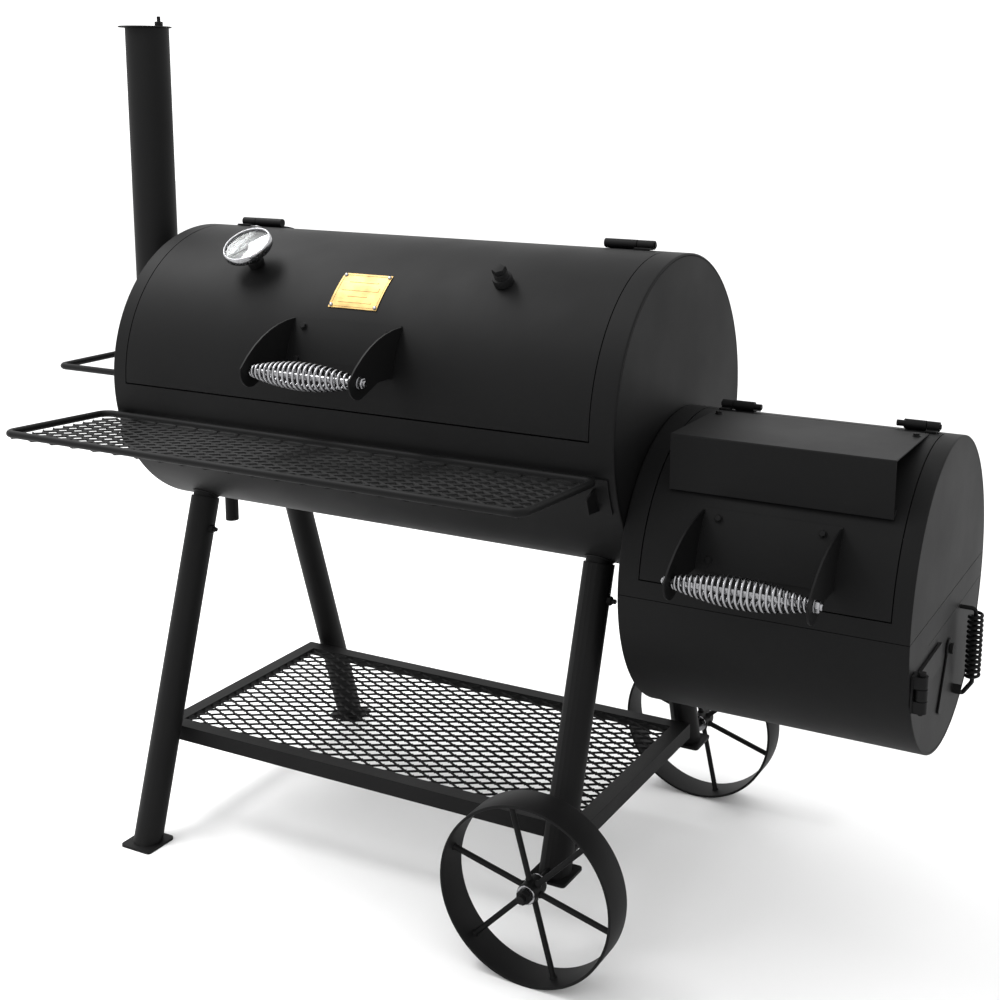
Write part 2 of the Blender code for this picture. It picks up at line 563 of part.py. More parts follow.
def warming_plate():
    """A folded sheet on the firebox lid: a level top, an upright front and a short foot along the lid."""
    top, thick, front = FIREBOX_Z + FIREBOX_R + GAP, 0.0025, WARMING_FRONT
    foot = on_barrel(WARMING_TOE + 3.2, FIREBOX_R + GAP, FIREBOX_Z)
    toe = on_barrel(WARMING_TOE, FIREBOX_R + GAP, FIREBOX_Z)
    outline = [(-0.004, top), (-0.004, top + thick), (front - 0.001, top + thick)]
    outline += [(front - thick, top + thick - 0.0015), (front - thick, toe[1] + 0.001), toe, foot]
    outline += [(foot[0] - 0.0015, foot[1] + 0.002), (front, toe[1] + 0.0045), (front, top)]
    plate_x("warming_plate", outline, WARMING_X[0], WARMING_X[1] - WARMING_X[0], PAINT, FIREBOX_LID)


# Firebox
def firebox():
    inner = FIREBOX_R - WALL
    shell_x = (FIREBOX_LEFT, FIREBOX_RIGHT)
    radii = (inner, FIREBOX_R)
    upper = barrel_piece("firebox_upper_half", shell_x, radii, (0.12, 179.88), FIREBOX_Z, PAINT)
    lower = barrel_piece("firebox_lower_half", shell_x, radii, (-179.88, -0.12), FIREBOX_Z, PAINT)
    middle, seat = (0, FIREBOX_Z), inner + 0.0015
    for side, start in (("left", FIREBOX_LEFT + GAP), ("right", FIREBOX_RIGHT - WALL - GAP)):
        half = [(y, max(z, FIREBOX_Z + END_GAP)) for y, z in arc(middle, seat, 0, 180, 30)]
        combine(upper, plate_x(f"upper_end_{side}", half, start, WALL, PAINT), "UNION")
    half = [(y, min(z, FIREBOX_Z - END_GAP)) for y, z in arc(middle, seat, 180, 360, 30)]
    combine(lower, plate_x("lower_end_left", half, FIREBOX_LEFT + GAP, WALL, PAINT), "UNION")
    right_end = plate_x("lower_end_right", fixed_end_outline(seat), FIREBOX_RIGHT - WALL - GAP, WALL, PAINT)
    combine(lower, right_end, "UNION")
    deep, mouth = (FIREBOX_R - 0.05, FIREBOX_R + 0.05), (FIREBOX_LID_BOTTOM, LID_TOP + 0.5)
    lid_x = (FIREBOX_LID_LEFT, FIREBOX_LID_RIGHT)
    opening = barrel_piece("firebox_lid_opening", lid_x, deep, mouth, FIREBOX_Z, PAINT, 12)
    combine(upper, opening, "DIFFERENCE")
    combine(upper, smoke_hole("firebox_smoke_hole"), "DIFFERENCE")
    for side in (-1, 1):
        y = sorted((side * 0.196, side * (math.sqrt(inner**2 - 0.12**2) + 0.001)))
        low, high = (1.01, y[0], CHARCOAL_Z - 0.010), (1.37, y[1], CHARCOAL_Z - 0.006)
        combine(lower, box(f"charcoal_ledge_{side}", low, high, PAINT), "UNION")
    grate_z = (CHARCOAL_Z - 0.005, CHARCOAL_Z + 0.005)
    slotted("charcoal_grate", (1.0, 1.385), (-0.205, 0.205), grate_z, 8, IRON)


def fixed_end_outline(rim):
    """The part of the lower right end that the door leaves: a strip along the top and a front corner."""
    low = math.degrees(math.acos(DOOR_FRONT / rim))
    front = [(y, min(z, FIREBOX_Z - END_GAP)) for y, z in arc((0, FIREBOX_Z), rim, 180, 360 - low, 12)]
    level = math.degrees(math.asin(DOOR_TOP / rim))
    back = [(y, min(z, FIREBOX_Z - END_GAP)) for y, z in arc((0, FIREBOX_Z), rim, level, 0, 4)]
    step_z = FIREBOX_Z + DOOR_STEP_Z
    step = [(DOOR_FRONT, step_z), (DOOR_STEP, step_z), (DOOR_STEP, FIREBOX_Z + DOOR_TOP)]
    return front + step + back


def firebox_door():
    """The lower right end of the firebox, swinging on its front edge, with an air vent and its damper."""
    rim, gap = FIREBOX_R - WALL - 0.0015, 0.001
    face = FIREBOX_RIGHT - WALL - GAP
    level = math.degrees(math.asin((DOOR_TOP - gap) / rim))
    low = math.degrees(math.acos((DOOR_FRONT + gap) / rim))
    outline = arc((0, FIREBOX_Z), rim, level, -low, 26)
    step_z = FIREBOX_Z + DOOR_STEP_Z - gap
    outline += [(DOOR_FRONT + gap, step_z), (DOOR_STEP + gap, step_z)]
    outline.append((DOOR_STEP + gap, FIREBOX_Z + DOOR_TOP - gap))
    door = plate_x("firebox_door", outline, face, WALL, PAINT, DOOR)
    pivot = (DAMPER_Y, FIREBOX_Z + DAMPER_Z)
    first, last = VENT_ANGLES
    vent = arc(pivot, VENT_INNER, last, first, 5) + arc(pivot, VENT_OUTER, first, last, 8)
    combine(door, plate_x("air_vent", vent, face - 0.01, 0.03, PAINT, DOOR), "DIFFERENCE")
    at, hole = (face, *pivot), [(0.0045, -0.02), (0.0045, 0.03)]
    combine(door, turned("damper_bolt_hole", hole, at, X_AXIS, PAINT, 16, False, DOOR), "DIFFERENCE")
    front = FIREBOX_RIGHT + GAP
    fan = arc(pivot, FAN_R, *FAN_ANGLES, 10) + arc(pivot, FAN_BOSS, -30, 208, 10)
    damper = plate_x("air_damper", fan, front, 0.0025, PAINT, DAMPER)
    tab_low = (front + 0.001, DAMPER_Y + 0.0330, FIREBOX_Z + DAMPER_Z - 0.0840)
    tab_high = (front + 0.016, DAMPER_Y + 0.0355, FIREBOX_Z + DAMPER_Z - 0.0690)
    combine(damper, box("damper_tab", tab_low, tab_high, PAINT, DAMPER), "UNION")
    combine(damper, turned("damper_bore", hole, at, X_AXIS, PAINT, 16, False, DAMPER), "DIFFERENCE")
    bolt = [(0.007, -0.0055), (0.007, -0.0006), (0.0038, -0.0006)]
    bolt += [(0.0038, 0.0072), (0.0085, 0.0072), (0.0085, 0.0125)]
    turned("air_damper_bolt", bolt, at, X_AXIS, PAINT, 16, False, DOOR)
    door_hinge(front)
    door_handle()


def door_hinge(front):
    """An upright hinge on the end's front edge: fixed knuckles, a strap on the door and a pin."""
    low, high = (FIREBOX_Z + DOOR_HINGE_Z + way * DOOR_HINGE_HALF for way in (-1, 1))
    third = (high - low) / 3
    at = (DOOR_AXIS_X, DOOR_HINGE_Y, low)
    leaf_low, leaf_high = (front, DOOR_HINGE_Y - 0.011, low), (front + 0.003, DOOR_HINGE_Y + 0.011, high)
    base = box("door_hinge_base", leaf_low, leaf_high, PAINT)
    for place, start in (("lower", 0), ("upper", 2 * third)):
        web_low = (front + 0.001, DOOR_HINGE_Y - 0.009, low + start)
        web_high = (DOOR_AXIS_X, DOOR_HINGE_Y + 0.009, low + start + third - 0.0005)
        combine(base, box(f"door_web_{place}", web_low, web_high, PAINT), "UNION")
        knuckle = [(0.009, start), (0.009, start + third - 0.0005)]
        combine(base, turned(f"door_knuckle_{place}", knuckle, at, Z_AXIS, PAINT, 20), "UNION")
    bore = [(0.0040, -0.01), (0.0040, 0.07)]
    combine(base, turned("door_base_bore", bore, at, Z_AXIS, PAINT, 16), "DIFFERENCE")
    span = (third + 0.0005, 2 * third - 0.0010)
    strap = ring("door_hinge_strap", 0.009, 0.0045, span[0], span[1], at, Z_AXIS, PAINT, 20, DOOR)
    web_low = (front + 0.0040, DOOR_HINGE_Y + 0.0055, low + span[0])
    web_high = (front + 0.0110, DOOR_HINGE_Y + 0.016, low + span[1])
    combine(strap, box("strap_web", web_low, web_high, PAINT, DOOR), "UNION")
    tongue_low = (front, DOOR_HINGE_Y + 0.0125, FIREBOX_Z - 0.092)
    tongue_high = (front + 0.0045, -0.057, FIREBOX_Z - 0.056)
    combine(strap, box("strap_tongue", tongue_low, tongue_high, PAINT, DOOR), "UNION")
    pin = [(0.0036, -0.004), (0.0036, 0.0545), (0.0060, 0.0545), (0.0060, 0.0585)]
    turned("door_hinge_pin", pin, at, Z_AXIS, PAINT, 16)


def door_handle():
    """A bent rod with a coil grip near the door's back edge."""
    y, out, foot = DOOR_GRIP_Y, FIREBOX_RIGHT + DOOR_GRIP_OUT, FIREBOX_RIGHT
    top, bottom = FIREBOX_Z + DOOR_GRIP_TOP, FIREBOX_Z + DOOR_GRIP_BOTTOM
    path = [(foot, y, top + 0.006), (out, y, top + 0.006)]
    path += [(out, y, bottom - 0.005), (foot + 0.010, y, bottom - 0.026), (foot, y, bottom - 0.026)]
    along("door_handle_rod", rounded(path, 0.005, 2), (0.0035,), PAINT, 8, False, Y_AXIS, DOOR)
    ring("door_handle_grip", 0.0120, 0.0080, bottom, top, (out, y, 0), Z_AXIS, PAINT, 16, DOOR)


# Smokestack, side handle and front shelf
def smokestack():
    """A pipe that bends into the chamber's left end, with a flange there and a tab for the cap's bolt."""
    path = [(STACK_X, 0, STACK_TOP), (STACK_X, 0, CHAMBER_Z), (-GAP, 0, CHAMBER_Z)]
    bend = rounded(path, STACK_BEND, 5)
    stack = along("smokestack", bend, (STACK_R, STACK_R - 0.002), PAINT, 24, False, Y_AXIS)
    flange = ring("stack_flange", 0.058, STACK_R - 0.001, -0.0045, -GAP, (0, 0, CHAMBER_Z), X_AXIS, PAINT, 24)
    combine(stack, flange, "UNION")
    low = (STACK_X + STACK_PIVOT - 0.009, -0.009, STACK_TOP - 0.010)
    high = (STACK_X + STACK_R - 0.001, 0.009, STACK_TOP - 0.007)
    combine(stack, box("stack_tab", low, high, PAINT), "UNION")
    pivot = (STACK_X + STACK_PIVOT, 0, STACK_TOP)
    hole = [(0.0040, -0.02), (0.0040, 0.03)]
    combine(stack, turned("stack_tab_hole", hole, pivot, Z_AXIS, PAINT, 16), "DIFFERENCE")
    disc = [(CAP_R, GAP), (CAP_R, GAP + 0.0025)]
    cap = turned("stack_cap", disc, (STACK_X + CAP_SHIFT, 0, STACK_TOP), Z_AXIS, PAINT, 36, False, STACK_CAP)
    combine(cap, turned("cap_hole", hole, pivot, Z_AXIS, PAINT, 16, False, STACK_CAP), "DIFFERENCE")
    bolt = [(0.0070, -0.0145), (0.0070, -0.0105), (0.0034, -0.0105), (0.0034, 0.0036), (0.0075, 0.0036)]
    bolt += [(0.0075, 0.0110), (0.0034, 0.0110), (0.0034, 0.0205)]
    turned("stack_cap_bolt", bolt, pivot, Z_AXIS, PAINT, 16)


def side_handle():
    """A round bar across the left end for lifting and rolling the smoker, with a flange at each end."""
    half, reach = SIDE_HANDLE_HALF, SIDE_HANDLE_REACH
    corners = [(-GAP, -half), (-reach, -half), (-reach, half), (-GAP, half)]
    path = [(x, y, CHAMBER_Z) for x, y in corners]
    bar = along("side_handle", rounded(path, 0.014, 4), (0.0060,), PAINT, 12)
    for where, y in (("front", -half), ("rear", half)):
        disc = [(0.018, -0.0035), (0.018, -GAP)]
        flange = turned(f"side_handle_flange_{where}", disc, (0, y, CHAMBER_Z), X_AXIS, PAINT, 20)
        combine(bar, flange, "UNION")


def front_shelf():
    """A bent round bar with expanded metal under it, a little higher at the front."""
    low, high = (FRONT_SHELF_LEFT, FRONT_SHELF_FRONT), (FRONT_SHELF_RIGHT, FRONT_SHELF_BACK)
    front, back = FRONT_SHELF_RAISED, FRONT_SHELF_Z
    path = [(low[0], low[1], front), (high[0], low[1], front)]
    path += [(high[0], high[1], back), (low[0], high[1], back)]
    along("front_shelf_frame", rounded(path, 0.018, 4, True), (FRONT_BAR_R,), PAINT, 10, True)
    x, y = (low[0] + 0.006, high[0] - 0.006), (low[1] + 0.006, high[1])
    top = back - FRONT_BAR_R - GAP
    sheet = expanded_sheet("front_shelf_mesh", x, y, (top - 0.0025, top), 10, 2, PAINT)
    slope = (front - back) / (low[1] - high[1])
    for vertex in sheet.data.vertices:
        vertex.co.z += slope * (vertex.co.y - high[1])
    for side, (foot, fin) in SHELF_BRACKETS.items():
        shelf_bracket(side, foot, fin)


def shelf_bracket(side, x, fin):
    """A curved foot bolted to the chamber and a fin under the shelf's back edge."""
    low, top = BRACKET_ANGLES
    foot_r = (CHAMBER_R + GAP, CHAMBER_R + 0.0035)
    bracket = barrel_piece(f"shelf_bracket_{side}", (x, x + 0.024), foot_r, (low, top), CHAMBER_Z, PAINT, 4)
    low, top, reach = low + 0.7, BRACKET_FIN_TOP, CHAMBER_R + 0.034
    root = [on_barrel(low + (top - low) * i / 6, CHAMBER_R + 0.0015, CHAMBER_Z) for i in range(7)]
    outline = root + [on_barrel(top - 1, reach, CHAMBER_Z), on_barrel(top - 6, reach, CHAMBER_Z)]
    start = x + fin + (0.0003 if fin == 0 else -0.0003)
    combine(bracket, plate_x(f"bracket_fin_{side}", outline, start, WALL, PAINT), "UNION")


# Stand, lower shelf, axle and wheels
def leg(where, end, x, side, floor):
    """A splayed tube with a square foot plate. The axle passes through each wheel-side tube."""
    pipe_low, radii = floor + FOOT_THICK / 2, (LEG_R, LEG_R - 0.0025)
    made = leg_pipe(f"leg_{where}_{end}", x, side, radii, pipe_low, LEG_TOP_Z, PAINT)
    y = leg_axis(floor, side)
    corners = [(x - FOOT, y - FOOT), (x + FOOT, y - FOOT), (x + FOOT, y + FOOT), (x - FOOT, y + FOOT)]
    outline = rounded([(a, b, floor) for a, b in corners], 0.006, 3, True)
    rings = [outline, [point + FOOT_THICK * Z_AXIS for point in outline]]
    combine(made, body(f"foot_plate_{where}_{end}", rings, PAINT), "UNION")
    if floor:
        bore, at = [(AXLE_R + GAP, -0.05), (AXLE_R + GAP, 0.05)], (AXLE_X, leg_axis(AXLE_Z, side), AXLE_Z)
        combine(made, turned(f"axle_bore_{where}", bore, at, Y_AXIS, PAINT, 24), "DIFFERENCE")


def lower_shelf():
    """An angle-iron frame, one flange level and one hanging, with expanded metal under the level one."""
    def corners(inset):
        low, high = (SHELF_LEFT + inset, inset - SHELF_HALF), (SHELF_RIGHT - inset, SHELF_HALF - inset)
        return [(low[0], low[1]), (high[0], low[1]), (high[0], high[1]), (low[0], high[1])]

    section = [(0, 0), (0, -ANGLE_IRON), (WALL, -ANGLE_IRON)]
    section += [(WALL, -WALL), (ANGLE_IRON, -WALL), (ANGLE_IRON, 0)]
    rings = [[(*corners(inset)[k], SHELF_Z + drop) for inset, drop in section] for k in range(4)]
    body("lower_shelf_frame", rings, PAINT, True)
    inset = WALL + 0.001
    x, y = (SHELF_LEFT + inset, SHELF_RIGHT - inset), (inset - SHELF_HALF, SHELF_HALF - inset)
    top = SHELF_Z - WALL - GAP
    expanded_sheet("lower_shelf_mesh", x, y, (top - 0.003, top), 9, 4, PAINT)


def wheel(end, side):
    """A flat steel rim, six round spokes to its middle and a hub tube."""
    centre, holder = Vector((AXLE_X, 0, AXLE_Z)), WHEELS[end]
    outer, inner = side * WHEEL_OUTER_Y, side * (WHEEL_OUTER_Y - WHEEL_WIDTH)
    rim_r = (WHEEL_R, WHEEL_R - 0.0045)
    made = ring(f"wheel_{end}", *rim_r, inner, outer, centre, Y_AXIS, PAINT, 48, holder)
    hub = sorted((side * HUB_INNER, side * HUB_OUTER))
    tube = ring(f"hub_{end}", HUB_R, AXLE_R + GAP, *hub, centre, Y_AXIS, PAINT, 24, holder)
    combine(made, tube, "UNION")
    start = centre + (outer + inner) / 2 * Y_AXIS
    for i in range(6):
        turn = math.radians(SPOKE_TURNS[end] + 60 * i)
        out = Vector((math.cos(turn), 0, math.sin(turn)))
        profile = [(SPOKE_R, 0.012), (SPOKE_R, WHEEL_R - 0.002)]
        spoke = turned(f"spoke_{end}_{i}", profile, start, out, PAINT, 8, False, holder)
        combine(made, spoke, "UNION")


def axle():
    """A round bar through both wheels, with a washer and a nut outside each hub."""
    turned("axle", [(AXLE_R, -AXLE_HALF), (AXLE_R, AXLE_HALF)], (AXLE_X, 0, AXLE_Z), Y_AXIS, PAINT, 24)
    for end, side in (("front", -1), ("rear", 1)):
        base, out = (AXLE_X, side * (HUB_OUTER + GAP), AXLE_Z), side * Y_AXIS
        profile = [(0.0150, 0), (0.0150, 0.0020), (0.0110, 0.0022), (0.0110, 0.0125)]
        profile += [(AXLE_R + GAP, 0.0125), (AXLE_R + GAP, 0)]
        turned(f"axle_nut_{end}", profile, base, out, CHROME, 12, True)


chamber()
main_lid()
thermometer()
port_plug()
firebox()
firebox_lid()
firebox_door()
smokestack()
side_handle()
front_shelf()
lower_shelf()
for where, side in (("front", -1), ("rear", 1)):
    leg(where, "left", LEG_LEFT, side, 0)
    leg(where, "right", LEG_RIGHT, side, AXLE_PLATE_Z)
    wheel(where, side)
axle()
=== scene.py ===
import json
import math

import bmesh
import bpy
import numpy as np
from mathutils import Matrix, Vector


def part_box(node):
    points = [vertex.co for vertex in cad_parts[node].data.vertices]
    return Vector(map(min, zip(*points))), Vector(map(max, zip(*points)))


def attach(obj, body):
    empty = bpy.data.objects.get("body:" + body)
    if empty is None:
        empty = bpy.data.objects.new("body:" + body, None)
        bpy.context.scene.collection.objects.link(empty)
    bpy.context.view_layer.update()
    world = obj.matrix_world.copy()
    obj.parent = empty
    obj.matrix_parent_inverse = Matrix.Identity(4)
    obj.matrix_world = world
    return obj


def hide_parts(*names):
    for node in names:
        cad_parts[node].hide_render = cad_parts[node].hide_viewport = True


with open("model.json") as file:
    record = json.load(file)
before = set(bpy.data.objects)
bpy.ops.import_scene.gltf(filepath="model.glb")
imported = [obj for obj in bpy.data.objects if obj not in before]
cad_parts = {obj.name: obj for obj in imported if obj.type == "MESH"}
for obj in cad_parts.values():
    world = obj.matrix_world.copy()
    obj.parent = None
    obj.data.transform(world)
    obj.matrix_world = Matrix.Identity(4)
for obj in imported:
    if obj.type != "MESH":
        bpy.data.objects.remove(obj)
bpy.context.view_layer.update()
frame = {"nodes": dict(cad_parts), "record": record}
nodes = frame["nodes"]
bodyOf = {node: body for body, group in frame["record"]["behaviour"]["bodies"].items() for node in group}
print("frame loaded:", len(nodes), "nodes")

# The two barrels, read from the frame: x of both ends, axis y and z, outer radius.
shellLow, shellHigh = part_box("main_chamber_shell")
chamber = {
    "left": shellLow.x,
    "right": shellHigh.x,
    "y": (shellLow.y + shellHigh.y) / 2,
    "r": (shellHigh.y - shellLow.y) / 2,
    "z": shellHigh.z - (shellHigh.y - shellLow.y) / 2,
    "wall": 0.003,
}
fireLow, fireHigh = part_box("firebox_lower_half")
firebox = {
    "left": fireLow.x,
    "right": fireHigh.x,
    "y": (fireLow.y + fireHigh.y) / 2,
    "r": (fireHigh.y - fireLow.y) / 2,
    "z": fireLow.z + (fireHigh.y - fireLow.y) / 2,
    "wall": 0.003,
}
xAxis, yAxis, zAxis = np.eye(3)

# Finishes. Patterns read Object coordinates, in metres.
paintLook = {
    "colour": (0.0022, 0.0022, 0.0023),
    "worn": (0.0050, 0.0049, 0.0047),
    "roughness": (0.54, 0.64),
    "shine": 0.12,
    "peelScale": 620,
    "peelDepth": 0.00012,
}
chromeLook = {"colour": (0.30, 0.30, 0.31), "roughness": (0.16, 0.30)}
brassLook = {
    "colour": (0.26, 0.175, 0.065),
    "dark": (0.10, 0.06, 0.02),
    "bright": (0.34, 0.25, 0.12),
    "roughness": (0.36, 0.52),
}
ironLook = {"colour": (0.020, 0.019, 0.018), "rust": (0.050, 0.032, 0.022), "roughness": (0.55, 0.8)}


class Shader:
    """A Principled material with short ways to add and link nodes."""

    def __init__(self, name):
        self.material = bpy.data.materials.new(name)
        self.material.use_nodes = True
        self.tree = self.material.node_tree
        self.principled = self.tree.nodes["Principled BSDF"]
        self.coords = self.tree.nodes.new("ShaderNodeTexCoord").outputs["Object"]

    def node(self, kind, inputs=None, **settings):
        made = self.tree.nodes.new(kind)
        for key, value in settings.items():
            setattr(made, key, value)
        for key, value in (inputs or {}).items():
            if isinstance(value, bpy.types.NodeSocket):
                self.tree.links.new(value, made.inputs[key])
            else:
                made.inputs[key].default_value = value
        return made

    def link(self, output, socket):
        self.tree.links.new(output, self.principled.inputs[socket])

    def noise(self, scale, detail=3.0, vector=None, rough=0.5):
        values = {"Vector": vector or self.coords, "Scale": scale, "Detail": detail, "Roughness": rough}
        return self.node("ShaderNodeTexNoise", values).outputs["Fac"]

    def spread(self, value, low, high, start=0.3, end=0.7):
        values = {"Value": value, "From Min": start, "From Max": end, "To Min": low, "To Max": high}
        return self.node("ShaderNodeMapRange", values).outputs["Result"]

    def mix(self, factor, first, second):
        made = self.node("ShaderNodeMix", data_type="RGBA")
        self.tree.links.new(factor, made.inputs["Factor"])
        for socket, value in ((6, first), (7, second)):
            if isinstance(value, bpy.types.NodeSocket):
                self.tree.links.new(value, made.inputs[socket])
            else:
                made.inputs[socket].default_value = (*value, 1)
        return made.outputs[2]

    def bump(self, height, distance, strength=1.0, below=None):
        values = {"Height": height, "Distance": distance, "Strength": strength}
        if below:
            values["Normal"] = below
        return self.node("ShaderNodeBump", values).outputs["Normal"]

    def stretched(self, scale):
        return self.node("ShaderNodeMapping", {"Vector": self.coords, "Scale": scale}).outputs["Vector"]


def makePaint():
    look = paintLook
    s = Shader("satinBlackPaint")
    clouds = s.noise(2.3, 4)
    specks = s.spread(s.noise(95, 6, rough=0.7), 0, 1, 0.62, 0.80)
    tone = s.mix(s.spread(clouds, 0, 1), look["colour"], tuple(1.35 * c for c in look["colour"]))
    s.link(s.mix(specks, tone, look["worn"]), "Base Color")
    s.link(s.spread(s.noise(5.5, 5), *look["roughness"]), "Roughness")
    rolled = s.bump(s.noise(14, 2), 0.00035, 0.5)
    s.link(s.bump(s.noise(look["peelScale"], 2), look["peelDepth"], 0.35, rolled), "Normal")
    s.principled.inputs["Specular IOR Level"].default_value = look["shine"]
    return s.material


def makeChrome():
    look = chromeLook
    s = Shader("platedSteel")
    s.principled.inputs["Metallic"].default_value = 1.0
    shade = tuple(0.86 * c for c in look["colour"])
    s.link(s.mix(s.spread(s.noise(60, 4), 0, 1), look["colour"], shade), "Base Color")
    s.link(s.spread(s.noise(240, 3), *look["roughness"]), "Roughness")
    s.link(s.bump(s.noise(900, 2), 0.00004, 0.3), "Normal")
    return s.material


def makeBrass():
    look = brassLook
    s = Shader("brushedBrass")
    s.principled.inputs["Metallic"].default_value = 1.0
    strokes = s.noise(1.0, 5, s.stretched((24, 2600, 2600)), 0.6)
    clouds = s.noise(38, 3)
    tone = s.mix(s.spread(clouds, 0, 0.75, 0.42, 0.72), look["colour"], look["dark"])
    s.link(s.mix(s.spread(strokes, 0, 0.3), tone, look["bright"]), "Base Color")
    s.link(s.spread(strokes, *look["roughness"]), "Roughness")
    s.link(s.bump(strokes, 0.00003, 0.6), "Normal")
    return s.material


def makeIron():
    look = ironLook
    s = Shader("seasonedIron")
    patches = s.spread(s.noise(30, 6, rough=0.65), 0, 1, 0.5, 0.75)
    s.link(s.mix(patches, look["colour"], look["rust"]), "Base Color")
    s.link(s.spread(s.noise(60, 5), *look["roughness"]), "Roughness")
    s.link(s.bump(s.noise(420, 4), 0.0005, 0.5), "Normal")
    s.principled.inputs["Metallic"].default_value = 0.35
    return s.material


def makePlain(name, colour, roughness, grain):
    s = Shader(name)
    shade = tuple(0.88 * c for c in colour)
    s.link(s.mix(s.spread(s.noise(140, 4), 0, 1), colour, shade), "Base Color")
    s.link(s.spread(s.noise(90, 3), roughness, roughness + 0.12), "Roughness")
    s.link(s.bump(s.noise(grain, 2), 0.00003, 0.3), "Normal")
    return s.material


def makeGlass():
    s = Shader("dialWindow")
    s.principled.inputs["Base Color"].default_value = (0.95, 0.97, 0.97, 1)
    s.principled.inputs["Transmission Weight"].default_value = 1.0
    s.principled.inputs["IOR"].default_value = 1.45
    s.link(s.spread(s.noise(45, 3), 0.02, 0.07), "Roughness")
    return s.material


finishes = {
    "black_paint": makePaint(),
    "chrome": makeChrome(),
    "brass": makeBrass(),
    "cast_iron": makeIron(),
    "dial": makePlain("dialFace", (0.20, 0.20, 0.20), 0.45, 900),
    "needle": makePlain("needleRed", (0.40, 0.020, 0.015), 0.4, 900),
    "dial_ink": makePlain("dialInk", (0.012, 0.012, 0.014), 0.5, 900),
    "glass": makeGlass(),
}
print("finishes made:", len(finishes))


# Mesh helpers
def gridFaces(rows, cols, wrapRows=False, wrapCols=True):
    """Quads between each row of points and the next, and each column and the next."""
    r = np.arange(rows if wrapRows else rows - 1)[:, None]
    c = np.arange(cols if wrapCols else cols - 1)[None, :]
    nextRow, nextCol = (r + 1) % rows, (c + 1) % cols
    corners = (r * cols + c, nextRow * cols + c, nextRow * cols + nextCol, r * cols + nextCol)
    return np.stack(np.broadcast_arrays(*corners), -1).reshape(-1, 4)


def endCaps(rows, sides):
    """The two faces that close the first row of points and the last."""
    return [list(range(sides))[::-1], list(range((rows - 1) * sides, rows * sides))]


def piece(name, parts, finish, body, stands=(), sharp=40, bevel=0.0, tidy=True):
    """One object from a list of (points, faces). tidy merges doubles and turns the faces outwards."""
    points, faces, start = [], [], 0
    for somePoints, someFaces in parts:
        flat = np.asarray(somePoints, float).reshape(-1, 3)
        points.append(flat)
        faces += [[int(i) + start for i in face] for face in someFaces]
        start += len(flat)
    mesh = bpy.data.meshes.new(name)
    mesh.from_pydata(np.concatenate(points).tolist(), [], faces)
    if tidy:
        bm = bmesh.new()
        bm.from_mesh(mesh)
        bmesh.ops.remove_doubles(bm, verts=bm.verts, dist=1e-6)
        bmesh.ops.dissolve_degenerate(bm, edges=bm.edges, dist=1e-7)
        bmesh.ops.recalc_face_normals(bm, faces=bm.faces)
        bm.to_mesh(mesh)
        bm.free()
    return dress(bpy.data.objects.new(name, mesh), finish, body, stands, sharp, bevel)


def dress(made, finish, body, stands=(), sharp=40, bevel=0.0):
    """Finish, shading, edge rounding and what the piece rides on and stands for."""
    bpy.context.scene.collection.objects.link(made)
    made.data.materials.clear()
    made.data.materials.append(finishes[finish])
    made.data.shade_smooth()
    made.data.set_sharp_from_angle(angle=math.radians(sharp))
    if bevel:
        edge = made.modifiers.new("edges", "BEVEL")
        edge.width = bevel
        edge.segments = 2
        edge.limit_method = "ANGLE"
        edge.angle_limit = math.radians(38)
        edge.harden_normals = True
    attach(made, body)
    if stands:
        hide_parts(*stands)
    return made


def softened(node, name, finish=None, bevel=0.0005, sharp=32):
    """A copy of a CAD node with its flat faces joined, its round faces smooth and its edges rounded."""
    mesh = nodes[node].data.copy()
    mesh.name = name
    bm = bmesh.new()
    bm.from_mesh(mesh)
    bmesh.ops.remove_doubles(bm, verts=bm.verts, dist=2e-5)
    bmesh.ops.dissolve_limit(bm, angle_limit=math.radians(0.6), verts=bm.verts, edges=bm.edges)
    bm.to_mesh(mesh)
    bm.free()
    slots = {entry["node"]: entry["material_slot"] for entry in frame["record"]["subparts"]}
    made = bpy.data.objects.new(name, mesh)
    return dress(made, finish or slots[node], bodyOf[node], (node,), sharp, bevel)


def squareTo(axis):
    across = np.cross(axis, xAxis if abs(axis[0]) < 0.9 else zAxis)
    across = across / np.linalg.norm(across)
    return across, np.cross(axis, across)


def turned(profile, base, axis, sides=48, loop=False):
    """Each (radius, height) of a profile becomes a circle round the axis. A loop has a bore."""
    axis = np.asarray(axis, float) / np.linalg.norm(axis)
    across, up = squareTo(axis)
    turn = np.arange(sides) * 2 * np.pi / sides
    out = np.cos(turn)[:, None] * across + np.sin(turn)[:, None] * up
    r, h = np.array(profile, float).T
    points = np.asarray(base, float) + h[:, None, None] * axis + r[:, None, None] * out
    faces = gridFaces(len(profile), sides, loop).tolist()
    if not loop:
        faces += endCaps(len(profile), sides)
    return points, faces


def onBarrel(barrel, x, angle, radius):
    """Points on a barrel: x along it, angle in degrees from its front over the top."""
    turn = np.radians(np.asarray(angle, float))
    y = barrel["y"] - radius * np.cos(turn)
    z = barrel["z"] + radius * np.sin(turn)
    return np.stack(np.broadcast_arrays(x, y, z), -1)


def outOf(angle):
    """The unit vector out of a barrel at an angle."""
    turn = math.radians(angle)
    return np.array([0, -math.cos(turn), math.sin(turn)])


